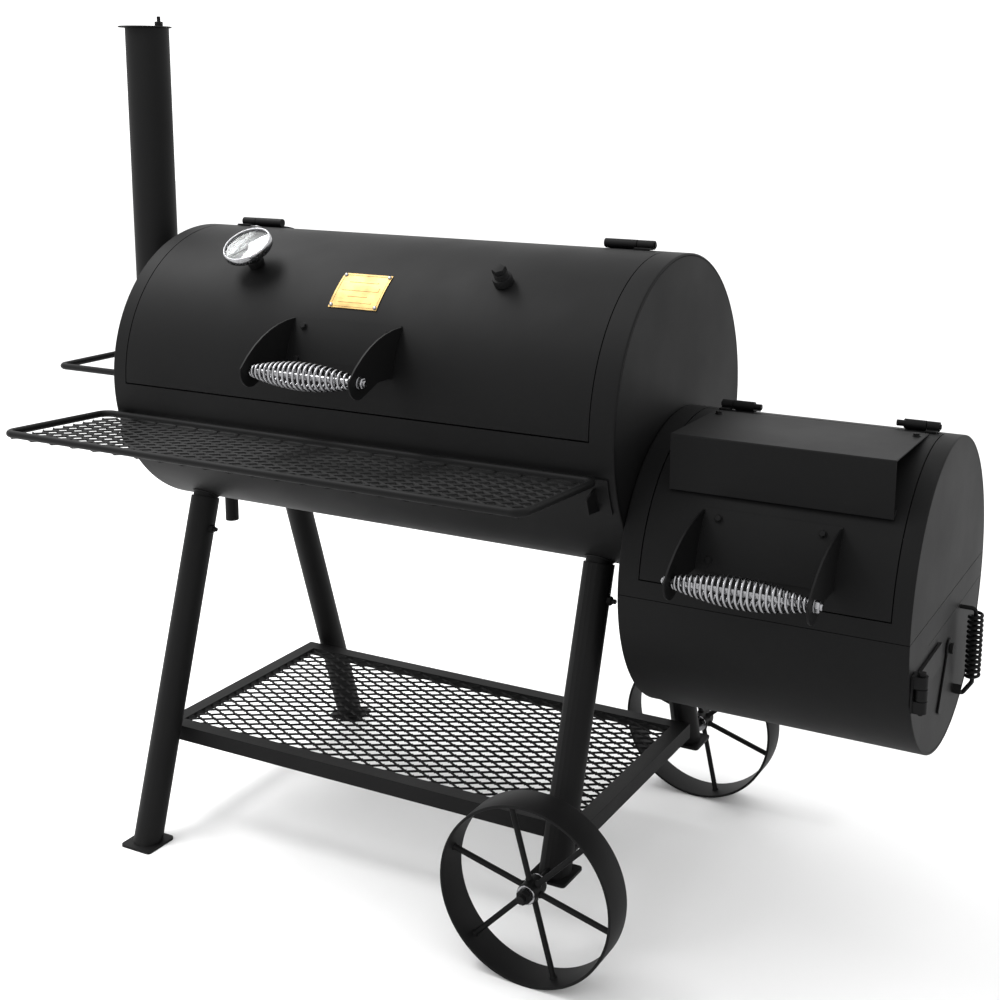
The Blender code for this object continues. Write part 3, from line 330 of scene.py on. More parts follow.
def curvedSheet(barrel, xs, angles, keep=None):
    """A sheet on a barrel, x by angle, with the wall added inwards. keep says which cells are there."""
    xs, angles = np.asarray(xs, float), np.asarray(angles, float)
    full = angles[-1] - angles[0] > 359.9
    outer = onBarrel(barrel, xs[:, None], angles[None, :], barrel["r"])
    inner = onBarrel(barrel, xs[:, None], angles[None, :], barrel["r"] - barrel["wall"])
    if full:
        outer, inner = outer[:, :-1], inner[:, :-1]
    rows, cols = outer.shape[:2]
    cells = gridFaces(rows, cols, False, full)
    kept = np.ones(len(cells), bool) if keep is None else keep(cells, xs, angles, cols, full)
    cells = cells[kept]
    sides = np.concatenate([cells[:, [i, (i + 1) % 4]] for i in range(4)])
    key = np.sort(sides, axis=1) @ np.array([rows * cols, 1])
    _, index, count = np.unique(key, return_inverse=True, return_counts=True)
    rim = sides[count[index] == 1]
    size = rows * cols
    walls = np.stack([rim[:, 0], rim[:, 1], rim[:, 1] + size, rim[:, 0] + size], -1)
    faces = np.concatenate([cells, cells[:, ::-1] + size, walls[:, ::-1]])
    return np.concatenate([outer.reshape(-1, 3), inner.reshape(-1, 3)]), faces.tolist()


def rimRing(barrel, end, angles, width=0.0045, corner=0.0022, depth=0.004):
    """A rolled rim on a barrel's end: a section with a rounded outer corner carried round the angles."""
    x, inwards = (barrel["left"], 1) if end == "left" else (barrel["right"], -1)
    bend = np.radians(np.linspace(0, 90, 6))
    outer = barrel["r"]
    section = [(x + inwards * depth, outer - width), (x, outer - width)]
    section += [
        (x + inwards * corner * (1 - math.cos(b)), outer - corner + corner * math.sin(b)) for b in bend
    ]
    section += [(x + inwards * depth, outer)]
    across = np.array(section)
    full = angles[-1] - angles[0] > 359.9
    turns = angles[:-1] if full else angles
    points = onBarrel(barrel, across[None, :, 0], np.asarray(turns)[:, None], across[None, :, 1])
    faces = gridFaces(len(turns), len(section), full, True).tolist()
    if not full:
        first, last = endCaps(len(turns), len(section))
        faces += [first[::-1], last]
    return points, faces


def slab(outline, base, u, v, thick):
    """A flat plate: an outline of (along u, along v) points, given a thickness square to both."""
    flat = np.array(outline, float)
    front = np.asarray(base, float) + flat[:, :1] * u + flat[:, 1:] * v
    normal = np.cross(u, v)
    points = np.concatenate([front, front + thick * normal])
    count = len(flat)
    return points, gridFaces(2, count).tolist() + endCaps(2, count)


def discWithHole(barrel, x0, x1, radius, hole, holeZ, sides=120):
    """A flat disc with a round hole off its middle: rings that run from the hole to the rim."""
    angles = np.arange(sides) * 360 / sides
    rim = onBarrel(barrel, x0, angles, radius)[None]
    turn = np.radians(angles)
    innerY, innerZ = barrel["y"] - hole * np.cos(turn), holeZ + hole * np.sin(turn)
    inner = np.stack([np.full(sides, x0), innerY, innerZ], -1)[None]
    steps = np.linspace(0, 1, 6)[:, None, None]
    face = inner + (rim - inner) * steps
    other = face[::-1] + np.array([x1 - x0, 0, 0])
    points = np.concatenate([face, other])
    return points, gridFaces(len(points), sides, True).tolist()


def tube(path, radius, sides=20, flat=zAxis, loop=False):
    """A round rod: a circle carried along a path that lies square to flat."""
    path = np.asarray(path, float)
    if loop:
        ahead = np.roll(path, -1, 0) - np.roll(path, 1, 0)
    else:
        ahead = np.gradient(path, axis=0)
    ahead = ahead / np.linalg.norm(ahead, axis=1)[:, None]
    side = np.cross(ahead, flat)
    side = side / np.linalg.norm(side, axis=1)[:, None]
    up = np.cross(side, ahead)
    turn = np.arange(sides) * 2 * np.pi / sides
    ring = np.cos(turn)[None, :, None] * side[:, None] + np.sin(turn)[None, :, None] * up[:, None]
    points = path[:, None] + radius * ring
    faces = gridFaces(len(path), sides, loop).tolist()
    if not loop:
        faces += endCaps(len(path), sides)
    return points, faces


def roundedPath(corners, radius, steps=8, loop=False):
    """A path through the corners, with an arc of the radius at each."""
    corners = np.asarray(corners, float)
    count = len(corners)
    out = [] if loop else [corners[0]]
    for i in range(0 if loop else 1, count if loop else count - 1):
        here = corners[i]
        back = corners[i - 1] - here
        on = corners[(i + 1) % count] - here
        back, on = back / np.linalg.norm(back), on / np.linalg.norm(on)
        half = math.acos(np.clip(back @ on, -1, 1)) / 2
        middle = here + (back + on) / np.linalg.norm(back + on) * radius / math.sin(half)
        first = here + back * radius / math.tan(half) - middle
        last = here + on * radius / math.tan(half) - middle
        sweep = math.pi - 2 * half
        for k in range(steps + 1):
            t = k / steps
            weight = (math.sin((1 - t) * sweep), math.sin(t * sweep))
            out.append(middle + (first * weight[0] + last * weight[1]) / math.sin(sweep))
    return np.array(out if loop else out + [corners[-1]])


def hexBolt(at, axis, flats=0.010, high=0.0055, washer=0.0, stud=0.0):
    """A hexagon head with a turned chamfer, and a washer under it or a stud end through it if asked."""
    corner = flats / math.sqrt(3)
    rise = 0.0012 if washer else 0
    head = [(corner, rise), (corner, rise + high * 0.82)]
    head += [(corner * 0.86, rise + high), (corner * 0.3, rise + high)]
    parts = [turned(head, at, axis, 6)]
    if washer:
        parts.append(turned([(washer, 0), (washer, 0.0009), (washer - 0.0004, rise)], at, axis, 32))
    if stud:
        end = rise + high + stud
        thread = [(flats * 0.30, 0), (flats * 0.30, end), (flats * 0.22, end + 0.001)]
        parts.append(turned(thread, at, axis, 20))
    return parts


def domedScrew(at, axis, radius=0.004, high=0.0022):
    """A low domed head: a quarter circle turned round its axis."""
    bend = np.radians(np.linspace(0, 80, 6))
    profile = [(radius, -0.0005)] + [(radius * math.cos(b), high * math.sin(b)) for b in bend]
    return turned(profile, at, axis, 24)


# Cooking chamber
chamberLook = {"lid": (0.1, 94.2), "opening": (-0.4, 94.7), "lidX": (0.028, 0.925), "stackHole": 0.0367}
smokeHole = {"radius": 0.085, "below": 0.1300}


def openingIn(low, high, left, right):
    """Keeps the cells that lie outside an opening in x and angle."""
    def keep(cells, xs, angles, cols, full):
        row, col = cells[:, 0] // cols, cells[:, 0] % cols
        middleX = (xs[row] + xs[row + 1]) / 2
        middleAngle = (angles[col] + angles[col + 1]) / 2
        inside = (middleX > left) & (middleX < right) & (middleAngle > low) & (middleAngle < high)
        return ~inside
    return keep


def makeChamber():
    c = chamber
    low, high = chamberLook["opening"]
    left, right = (c["left"] + x for x in chamberLook["lidX"])
    angles = np.concatenate([np.linspace(low, high, 40), np.linspace(high, low + 360, 108)[1:]])
    xs = [c["left"] + 0.004, left, right, c["right"] - 0.004]
    parts = [curvedSheet(c, xs, angles, openingIn(low, high, left, right))]
    for end in ("left", "right"):
        parts.append(rimRing(c, end, np.linspace(0, 360, 145)))
    piece("chamberShell", parts, "black_paint", "stand", ("main_chamber_shell",), 38, 0.0)
    makeStubs()
    inside = c["r"] - 0.0035
    leftCap = discWithHole(c, c["left"], c["left"] + 0.003, inside, chamberLook["stackHole"], c["z"])
    piece("chamberEndLeft", [leftCap], "black_paint", "stand", ("main_end_cap_left",))
    hole = c["z"] - smokeHole["below"]
    rightCap = discWithHole(c, c["right"] - 0.003, c["right"], inside, smokeHole["radius"], hole)
    piece("chamberEndRight", [rightCap], "black_paint", "stand", ("main_end_cap_right",))
    ledges = []
    for side in (-1, 1):
        edge = c["y"] + side * (c["r"] - 0.010)
        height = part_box("cooking_grate_left")[0].z - 0.003
        corners = [(0, -0.008), (0.86, -0.008), (0.86, 0.008), (0, 0.008)]
        ledges.append(slab(corners, (c["left"] + 0.04, edge, height), xAxis, yAxis, 0.002))
    piece("grateLedges", ledges, "black_paint", "stand", (), 30, 0.0004)


legLook = {
    "x": (0.080, 0.880),
    "footY": 0.3095,
    "slope": 0.316,
    "radius": 0.0254,
    "stub": 0.0222,
    "stubZ": 0.545,
    "boltZ": 0.5417,
    "weld": 0.0024,
}


def legPoint(z, side):
    return np.array([0, chamber["y"] + side * (legLook["footY"] - legLook["slope"] * z), z])


def makeStubs():
    """The thinner stub that each leg slides over, cut to the barrel's curve, with a weld bead round it.

    Each point p of the stub's foot ring moves along the axis a by t = -b - sqrt(b^2 - |p|^2 + r^2), with
    b = p.a, both measured from the barrel's axis. That is where it meets the barrel of radius r.
    """
    parts = []
    sides = 40
    turn = np.arange(sides) * 2 * np.pi / sides
    for side in (-1, 1):
        axis = legPoint(1, side) - legPoint(0, side)
        axis = axis / np.linalg.norm(axis)
        across, up = squareTo(axis)
        for x in legLook["x"]:
            base = legPoint(legLook["stubZ"], side) + np.array([chamber["left"] + x, 0, 0])
            ring = base + legLook["stub"] * (np.cos(turn)[:, None] * across + np.sin(turn)[:, None] * up)
            flat = ring[:, 1:] - np.array([chamber["y"], chamber["z"]])
            b = flat @ axis[1:]
            inWall, onWall = chamber["r"] - 0.0015, chamber["r"] + 0.0005
            reach = [-b - np.sqrt(b**2 - (flat**2).sum(1) + r**2) for r in (inWall, onWall)]
            rings = np.stack([ring, ring + reach[0][:, None] * axis])
            parts.append((rings, gridFaces(2, sides).tolist() + endCaps(2, sides)))
            parts.append(tube(ring + reach[1][:, None] * axis, legLook["weld"], 8, axis, True))
    piece("legStubs", parts, "black_paint", "stand", (), 38)


def makeMainLid():
    c = chamber
    low, high = chamberLook["lid"]
    ends = [c["left"] + chamberLook["lidX"][0] + 0.0015, c["left"] + chamberLook["lidX"][1] - 0.0015]
    sheet = curvedSheet(c, ends, np.linspace(low, high, 48))
    piece("chamberLid", [sheet], "black_paint", "main_lid_body", ("main_lid",), 38, 0.0006)


# Firebox
fireLook = {"lid": (6.9, 94.2), "opening": (6.5, 94.7), "lidX": (1.000, 1.378), "split": 0.12}


def halfPlate(barrel, x, thick, angles, radius, edge):
    """A flat half disc between two angles, kept a little off the joint line."""
    arcPoints = onBarrel(barrel, x, angles, radius)
    farther = np.maximum if edge > 0 else np.minimum
    arcPoints[:, 2] = farther(arcPoints[:, 2], barrel["z"] + edge)
    return slab(arcPoints[:, 1:], (x, 0, 0), yAxis, zAxis, thick)


def makeFirebox():
    f = firebox
    split = fireLook["split"]
    low, high = fireLook["opening"]
    left, right = (chamber["left"] + x for x in fireLook["lidX"])
    ends = [f["left"] + 0.004, left, right, f["right"] - 0.004]
    angles = np.concatenate([[split], np.linspace(low, high, 44), np.linspace(high, 180 - split, 44)[1:]])
    upper = [curvedSheet(f, ends, angles, openingIn(low, high, left, right))]
    upperTurns = np.linspace(split, 180 - split, 73)
    lowerTurns = np.linspace(-180 + split, -split, 73)
    for end in ("left", "right"):
        upper.append(rimRing(f, end, upperTurns))
    inside = f["r"] - 0.004
    upper.append(halfPlate(f, f["right"] - 0.0032, 0.0030, upperTurns, inside, 0.0006))
    piece("fireboxUpper", upper, "black_paint", "stand", ("firebox_upper_half",), 38)
    lower = [curvedSheet(f, ends, np.linspace(-180 + split, -split, 73))]
    for end in ("left", "right"):
        lower.append(rimRing(f, end, lowerTurns))
    lower.append(halfPlate(f, f["left"] + 0.0002, 0.0030, lowerTurns, inside, -0.0006))
    piece("fireboxLower", lower, "black_paint", "stand", ("firebox_lower_half",), 38)
    makeFireboxWall(inside)
    piece("fireboxEndFixed", [fixedEnd(inside)], "black_paint", "stand", (), 30, 0.0004)
    makeLedges()


def makeFireboxWall(radius):
    """The upper half's left wall: rings from the smoke hole out to the half circle and its level foot."""
    f = firebox
    middle = np.array([f["left"] + 0.0002, f["y"], chamber["z"] - smokeHole["below"]])
    sides = 96
    turn = np.linspace(0, 2 * np.pi, sides + 1)[:-1]
    out = np.stack([np.zeros(sides), -np.cos(turn), np.sin(turn)], -1)
    drop = middle[2] - f["z"] - 0.0006
    up = out[:, 2]
    toArc = -up * (middle[2] - f["z"]) + np.sqrt(radius**2 - (middle[2] - f["z"]) ** 2 * (1 - up**2))
    toFoot = np.where(up < -1e-6, drop / np.maximum(-up, 1e-6), np.inf)
    reach = np.minimum(toArc, toFoot)
    steps = np.linspace(0, 1, 5)[:, None, None]
    rings = middle + out * (smokeHole["radius"] + (reach[None, :, None] - smokeHole["radius"]) * steps)
    points = np.concatenate([rings, rings[::-1] + np.array([0.003, 0, 0])])
    wall = (points, gridFaces(len(points), sides, True).tolist())
    piece("fireboxWall", [wall], "black_paint", "stand", (), 30)


doorLook = {"front": -0.140, "step": -0.124, "top": -0.039, "stepDown": -0.061}


def arcYZ(barrel, radius, start, end, count):
    """(y, z) points on a circle round a barrel's axis, degrees from the back upwards."""
    turn = np.radians(np.linspace(start, end, count))
    return [(barrel["y"] + radius * math.cos(t), barrel["z"] + radius * math.sin(t)) for t in turn]


def fixedEnd(radius):
    """The part of the firebox's right end round the door: the strip above it and its front corner."""
    f, d = firebox, doorLook
    level = math.degrees(math.asin(d["top"] / radius))
    low = math.degrees(math.acos(d["front"] / radius))
    front = [(y, min(z, f["z"] - 0.0006)) for y, z in arcYZ(f, radius, 180, 360 - low, 20)]
    step = [(f["y"] + d["front"], f["z"] + d["stepDown"]), (f["y"] + d["step"], f["z"] + d["stepDown"])]
    step.append((f["y"] + d["step"], f["z"] + d["top"]))
    back = [(y, min(z, f["z"] - 0.0006)) for y, z in arcYZ(f, radius, level, 0, 6)]
    return slab(front + step + back, (f["right"] - 0.0032, 0, 0), yAxis, zAxis, 0.0030)


def makeLedges():
    f = firebox
    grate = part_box("charcoal_grate")[0]
    parts = []
    for side in (-1, 1):
        corners = [(0, -0.006), (0.36, -0.006), (0.36, 0.006), (0, 0.006)]
        base = (grate.x + 0.01, f["y"] + side * 0.202, grate.z - 0.003)
        parts.append(slab(corners, base, xAxis, yAxis, 0.002))
    piece("charcoalLedges", parts, "black_paint", "stand", (), 30, 0.0004)


def makeFireboxLid():
    left, right = (chamber["left"] + x for x in fireLook["lidX"])
    ends = [left + 0.0015, right - 0.0015]
    sheet = curvedSheet(firebox, ends, np.linspace(*fireLook["lid"], 44))
    piece("fireboxLid", [sheet], "black_paint", "firebox_lid_body", ("firebox_lid",), 38, 0.0006)


# Coil grips
lidCoil = {"end": 0.0098, "middle": 0.0228, "closed": 0.10, "finish": "chrome"}
doorCoil = {"end": 0.0124, "middle": 0.0128, "closed": 0.02, "finish": "black_paint"}
coilLook = {
    "main_handle_grip": {"turns": 21, "wire": 0.0021, **lidCoil},
    "firebox_handle_grip": {"turns": 24, "wire": 0.0020, **lidCoil},
    "door_handle_grip": {"turns": 13, "wire": 0.0026, **doorCoil},
}


def coil(low, high, axis, look):
    """A wire circle carried along a helix.

    The turns lie close at both ends, and the radius swells in the middle as a half sine.
    """
    base = np.array([(low[i] + high[i]) / 2 for i in range(3)])
    length = high[axis] - low[axis] - 2 * look["wire"]
    base[axis] = low[axis] + look["wire"]
    along = np.eye(3)[axis]
    across, up = squareTo(along)
    t = np.linspace(0, 1, look["turns"] * 28 + 1)
    nearEnd = np.clip(np.minimum(t, 1 - t) / look["closed"], 0, 1)
    pitch = 0.45 + 0.55 * nearEnd**2 * (3 - 2 * nearEnd)
    run = np.concatenate([[0], np.cumsum((pitch[1:] + pitch[:-1]) / 2)])
    run = run / run[-1] * length
    radius = look["end"] + (look["middle"] - look["end"]) * np.sin(np.pi * run / length) ** 0.9 - look["wire"]
    turn = 2 * np.pi * look["turns"] * t
    out = np.cos(turn)[:, None] * across + np.sin(turn)[:, None] * up
    line = base + run[:, None] * along + radius[:, None] * out
    ahead = np.gradient(line, axis=0)
    ahead = ahead / np.linalg.norm(ahead, axis=1)[:, None]
    side = np.cross(ahead, out)
    sides = 10
    ring = np.arange(sides) * 2 * np.pi / sides
    section = np.cos(ring)[None, :, None] * out[:, None] + np.sin(ring)[None, :, None] * side[:, None]
    points = line[:, None] + look["wire"] * section
    return points, gridFaces(len(line), sides).tolist() + endCaps(len(line), sides)


def makeGrips():
    for node, look in coilLook.items():
        low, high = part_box(node)
        axis = 2 if node.startswith("door") else 0
        piece(f"coil_{node}", [coil(low, high, axis, look)], look["finish"], bodyOf[node], (node,), 60)


# Expanded metal shelves
meshLook = {"long": 0.0448, "short": 0.0223, "strand": 0.0032, "thick": 0.0020, "lean": 0.0011}
barLook = {"radius": 0.0060, "corner": 0.018}


def expandedMetal(low, high, thick):
    """Strands between the knots of a diamond net. Each is a leaning bar with a thicker knot at both ends.

    A sheet that is thinner than its box rises evenly from its back edge to its front edge.
    """
    look = meshLook
    tilt = (high.z - low.z - thick) / (high.y - low.y)
    stepX, stepY = look["long"] / 2, look["short"] / 2
    i = np.arange(-1, int((high.x - low.x) / stepX) + 2)
    j = np.arange(-1, int((high.y - low.y) / stepY) + 2)
    gridI, gridJ = (a.reshape(-1) for a in np.meshgrid(i, j, indexing="ij"))
    even = (gridI + gridJ) % 2 == 0
    gridI, gridJ = gridI[even], gridJ[even]
    starts = np.concatenate([np.stack([gridI, gridJ], -1)] * 2)
    rise = np.repeat([1, -1], len(gridI))
    start = np.stack([low.x + starts[:, 0] * stepX, low.y + starts[:, 1] * stepY], -1)
    run = np.stack([np.full(len(rise), stepX), rise * stepY], -1)
    middle = start + run / 2
    insideX = (middle[:, 0] > low.x) & (middle[:, 0] < high.x)
    inside = insideX & (middle[:, 1] > low.y) & (middle[:, 1] < high.y)
    start, run, rise = start[inside], run[inside], rise[inside]
    across = np.stack([-run[:, 1], run[:, 0]], -1) / np.linalg.norm(run, axis=1)[:, None]
    t = np.array([-0.06, 0.14, 0.86, 1.06])
    width = look["strand"] / 2 * np.array([0.9, 0.72, 0.72, 0.9])
    centre = start[:, None] + run[:, None] * t[None, :, None]
    lean = look["lean"] * rise[:, None] * np.array([-1, -0.5, 0.5, 1])[None, :]
    points = np.empty((len(start), 4, 4, 3))
    for k, (side, top) in enumerate(((-1, -1), (1, -1), (1, 1), (-1, 1))):
        flat = centre + across[:, None] * (side * width)[None, :, None]
        points[:, :, k, 0] = np.clip(flat[..., 0], low.x, high.x)
        points[:, :, k, 1] = np.clip(flat[..., 1], low.y, high.y)
        level = low.z + thick / 2 + tilt * (high.y - points[:, :, k, 1])
        points[:, :, k, 2] = level + lean + top * look["thick"] / 2 + side * look["lean"] * 0.6
    one = gridFaces(4, 4).tolist() + [[3, 2, 1, 0], [12, 13, 14, 15]]
    shifts = np.arange(len(start)) * 16
    faces = [[index + shift for index in face] for shift in shifts.tolist() for face in one]
    return points.reshape(-1, 3), faces


def makeShelves():
    sheets = (("lower_shelf_mesh", "lowerShelfMesh", 0.0030), ("front_shelf_mesh", "frontShelfMesh", 0.0025))
    for node, name, thick in sheets:
        low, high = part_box(node)
        piece(name, [expandedMetal(low, high, thick)], "black_paint", "stand", (node,), 30, 0.0, False)
    low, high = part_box("front_shelf_frame")
    r = barLook["radius"]
    front, back = high.z - r, low.z + r
    corners = [(low.x + r, low.y + r, front), (high.x - r, low.y + r, front)]
    corners += [(high.x - r, high.y - r, back), (low.x + r, high.y - r, back)]
    bar = tube(roundedPath(corners, barLook["corner"], 10, True), r, 20, zAxis, True)
    piece("frontShelfBar", [bar], "black_paint", "stand", ("front_shelf_frame",), 60)


# Wheels
wheelLook = {
    "rim": 0.0045,
    "soft": 0.0012,
    "spokes": 6,
    "spoke": 0.0046,
    "turn": {"wheel_front": 45.5, "wheel_rear": 42.5},
    "hub": 0.0160,
    "bead": 0.0020,
    "acrossHub": 0.0390,
}


def wheel(node):
    """A rolled flat rim with rounded edges, spokes with weld beads and a hub tube."""
    low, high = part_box(node)
    look = wheelLook
    centre = np.array([(low.x + high.x) / 2, (low.y + high.y) / 2, (low.z + high.z) / 2])
    radius, half = (high.z - low.z) / 2, (high.y - low.y) / 2
    soft = look["soft"]
    bend = np.radians(np.linspace(0, 90, 4))
    corner = [(soft * math.sin(b), soft * (1 - math.cos(b))) for b in bend]
    outerEdge = [(radius - soft + s, -half + c) for s, c in corner]
    innerEdge = [(radius - look["rim"] + soft - s, half - c) for s, c in corner]
    profile = outerEdge + [(r, -h) for r, h in outerEdge[::-1]]
    profile += innerEdge + [(r, -h) for r, h in innerEdge[::-1]]
    parts = [turned(profile, centre, yAxis, 128, True)]
    hub, long = look["hub"], half * 0.62
    tubeEnd = [(hub - 0.001, -long), (hub, -long + 0.001), (hub, long - 0.001), (hub - 0.001, long)]
    parts.append(turned(tubeEnd + [(0.0070, long), (0.0070, -long)], centre, yAxis, 40, True))
    end, r, bead = radius - look["rim"] + 0.001, look["spoke"], look["bead"]
    for k in range(look["spokes"]):
        turn = math.radians(look["turn"][node] + 360 / look["spokes"] * k)
        out = np.array([math.cos(turn), 0, math.sin(turn)])
        spoke = [(r, hub - 0.003), (r + bead, hub + 0.0005)]
        spoke += [(r + bead * 0.5, hub + bead), (r, hub + 2 * bead), (r, end - 2.4 * bead)]
        spoke += [(r + bead * 0.5, end - 1.4 * bead), (r + bead, end - 0.3 * bead), (r, end)]
        parts.append(turned(spoke, centre, out, 20))
    return parts


def makeWheels():
    for node, name in (("wheel_front", "frontWheel"), ("wheel_rear", "rearWheel")):
        piece(name, wheel(node), "black_paint", bodyOf[node], (node,), 36)
    for node, side in (("axle_nut_front", -1), ("axle_nut_rear", 1)):
        low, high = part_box(node)
        hubFace = high.y if side < 0 else low.y
        base = np.array([(low.x + high.x) / 2, hubFace, (low.z + high.z) / 2])
        washer = [(0.0070, 0), (0.0150, 0), (0.0150, 0.0016), (0.0146, 0.0020), (0.0070, 0.0020)]
        nut = [(0.0070, 0.0021), (0.0112, 0.0021), (0.0119, 0.0030)]
        nut += [(0.0119, 0.0108), (0.0108, 0.0122), (0.0070, 0.0122)]
        inner = base - side * wheelLook["acrossHub"] * yAxis
        washers = [turned(washer, at, side * yAxis, 48, True) for at in (base, inner)]
        piece(f"hubWashers{node[8:]}", washers, "chrome", "stand", (node,), 36)
        piece(f"hubNut{node[8:]}", [turned(nut, base, side * yAxis, 6, True)], "black_paint", "stand", (), 36)


# Thermometer, port plug and plate
portAngle = 54.9
gaugeLook = {"face": 0.0383, "ticks": 25, "sweep": 270, "start": 225}


def facing(axis):
    """Across and up vectors on a face that looks out of the lid."""
    up = np.cross(axis, xAxis)
    return xAxis, up * (1 if up[2] > 0 else -1)


def makeGauge():
    dialLow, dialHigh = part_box("thermometer_dial")
    axis = outOf(portAngle)
    foot = np.array([(dialLow.x + dialHigh.x) / 2, *onBarrel(chamber, 0, portAngle, chamber["r"])[1:]])
    stem = [(0.0022, -0.075), (0.0025, -0.073), (0.0025, -0.014), (0.0105, -0.014)]
    stem += [(0.0105, 0.0014), (0.0135, 0.0014), (0.0143, 0.0030), (0.0143, 0.0105)]
    stem += [(0.0132, 0.0120), (0.0085, 0.0125), (0.0085, 0.0290)]
    piece("gaugeStem", [turned(stem, foot, axis, 64)], "black_paint", "main_lid_body", (), 34)
    case = [(0.0110, 0.0285), (0.0370, 0.0305), (0.0412, 0.0322), (0.0428, 0.0348)]
    case += [(0.0428, 0.0440), (0.0423, 0.0458), (0.0412, 0.0468), (0.0400, 0.0468)]
    case += [(0.0390, 0.0455), (0.0388, 0.0340)]
    piece("gaugeCase", [turned(case, foot, axis, 96)], "chrome", "main_lid_body", ("thermometer_case",), 34)
    face = [(gaugeLook["face"], 0.0342), (gaugeLook["face"], 0.0352), (0.0378, 0.0353)]
    face += [(0.0016, 0.0353), (0.0014, 0.0394)]
    piece("gaugeFace", [turned(face, foot, axis, 72)], "dial", "main_lid_body", ("thermometer_dial",), 30)
    across, up = facing(axis)
    level = foot + 0.0354 * axis
    ink = []
    for k in range(gaugeLook["ticks"]):
        turn = math.radians(gaugeLook["start"] - gaugeLook["sweep"] * k / (gaugeLook["ticks"] - 1))
        out = math.cos(turn) * across + math.sin(turn) * up
        side = np.cross(axis, out)
        major = k % 4 == 0
        inner, half = (0.0272, 0.00070) if major else (0.0296, 0.00042)
        corners = [(inner, -half), (0.0324, -half), (0.0324, half), (inner, half)]
        ink.append(slab(corners, level, out, side, 0.0002))
    ink.append(band(level, across, up, axis, 0.0338, 0.0345, 225, -45))
    ink.append(band(level, across, up, axis, 0.0168, 0.0208, 200, 110))
    piece("gaugeScale", ink, "dial_ink", "main_lid_body", (), 30)
    hot = [band(level, across, up, axis, 0.0168, 0.0208, 25, -40)]
    piece("gaugeHotZone", hot, "needle", "main_lid_body", (), 30)
    for number in range(7):
        makeNumber(number, level, across, up)
    softened("thermometer_needle", "gaugeNeedle", "dial_ink", 0.0002)
    window = [(0.0386, 0.0415), (0.0386, 0.0428), (0.0355, 0.0433), (0.0190, 0.0438), (0.0010, 0.0440)]
    window = turned(window, foot, axis, 72)
    piece("gaugeWindow", [window], "glass", "main_lid_body", ("thermometer_glass",), 60)


def band(level, across, up, axis, inner, outer, start, end):
    """A flat printed arc on the dial."""
    turn = np.radians(np.linspace(start, end, 40))
    ring = np.cos(turn)[:, None] * across + np.sin(turn)[:, None] * up
    corners = [(inner, 0), (outer, 0), (outer, 0.0002), (inner, 0.0002)]
    points = np.stack([level + r * ring + h * axis for r, h in corners], 1)
    faces = gridFaces(len(turn), 4).tolist() + endCaps(len(turn), 4)
    return points, faces


def makeNumber(number, level, across, up):
    """A plain printed number on the dial, every hundred degrees."""
    curve = bpy.data.curves.new(f"number{number}", "FONT")
    curve.body = str(number * 100)
    curve.size = 0.0060
    curve.extrude = 0.0001
    curve.align_x = curve.align_y = "CENTER"
    text = bpy.data.objects.new(f"text{number}", curve)
    bpy.context.scene.collection.objects.link(text)
    bpy.context.view_layer.update()
    mesh = bpy.data.meshes.new_from_object(text.evaluated_get(bpy.context.evaluated_depsgraph_get()))
    bpy.data.objects.remove(text)
    flat = np.empty(len(mesh.vertices) * 3)
    mesh.vertices.foreach_get("co", flat)
    flat = flat.reshape(-1, 3)
    turn = math.radians(gaugeLook["start"] - gaugeLook["sweep"] * number / 6)
    middle = level + 0.0238 * (math.cos(turn) * across + math.sin(turn) * up)
    normal = np.cross(across, up)
    placed = middle + flat[:, :1] * across + flat[:, 1:2] * up + (flat[:, 2:] + 0.0001) * normal
    mesh.vertices.foreach_set("co", placed.reshape(-1))
    mesh.update()
    made = bpy.data.objects.new(f"gaugeNumber{number}", mesh)
    dress(made, "dial_ink", "main_lid_body")


def makePlug():
    low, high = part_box("port_plug")
    axis = outOf(portAngle)
    foot = np.array([(low.x + high.x) / 2, *onBarrel(chamber, 0, portAngle, chamber["r"])[1:]])
    bush = [(0.0110, -0.012), (0.0110, 0.0005), (0.0155, 0.0005), (0.0160, 0.0012)]
    bush += [(0.0160, 0.0125), (0.0152, 0.0140), (0.0118, 0.0145)]
    thread = []
    for k in range(5):
        thread += [(0.0118, 0.0148 + 0.0016 * k), (0.0111, 0.0156 + 0.0016 * k)]
    parts = [turned(bush + thread + [(0.0100, 0.0230)], foot, axis, 64)]
    head = [(0.0105, 0.0228), (0.0118, 0.0236), (0.0118, 0.0300), (0.0106, 0.0318), (0.0050, 0.0325)]
    parts.append(turned(head, foot, axis, 6))
    piece("portPlug", parts, "black_paint", "main_lid_body", ("port_plug",), 34)


# Each bar: its middle angle, its start and end as parts of the plate's width, and its height in degrees.
plateLook = {
    "low": 37.7,
    "high": 53.7,
    "border": 0.0022,
    "inset": 0.003,
    "bars": (
        (49.6, 0.20, 0.80, 0.5),
        (46.4, 0.12, 0.88, 1.9),
        (43.0, 0.30, 0.70, 0.45),
        (40.4, 0.16, 0.84, 0.45),
    ),
}


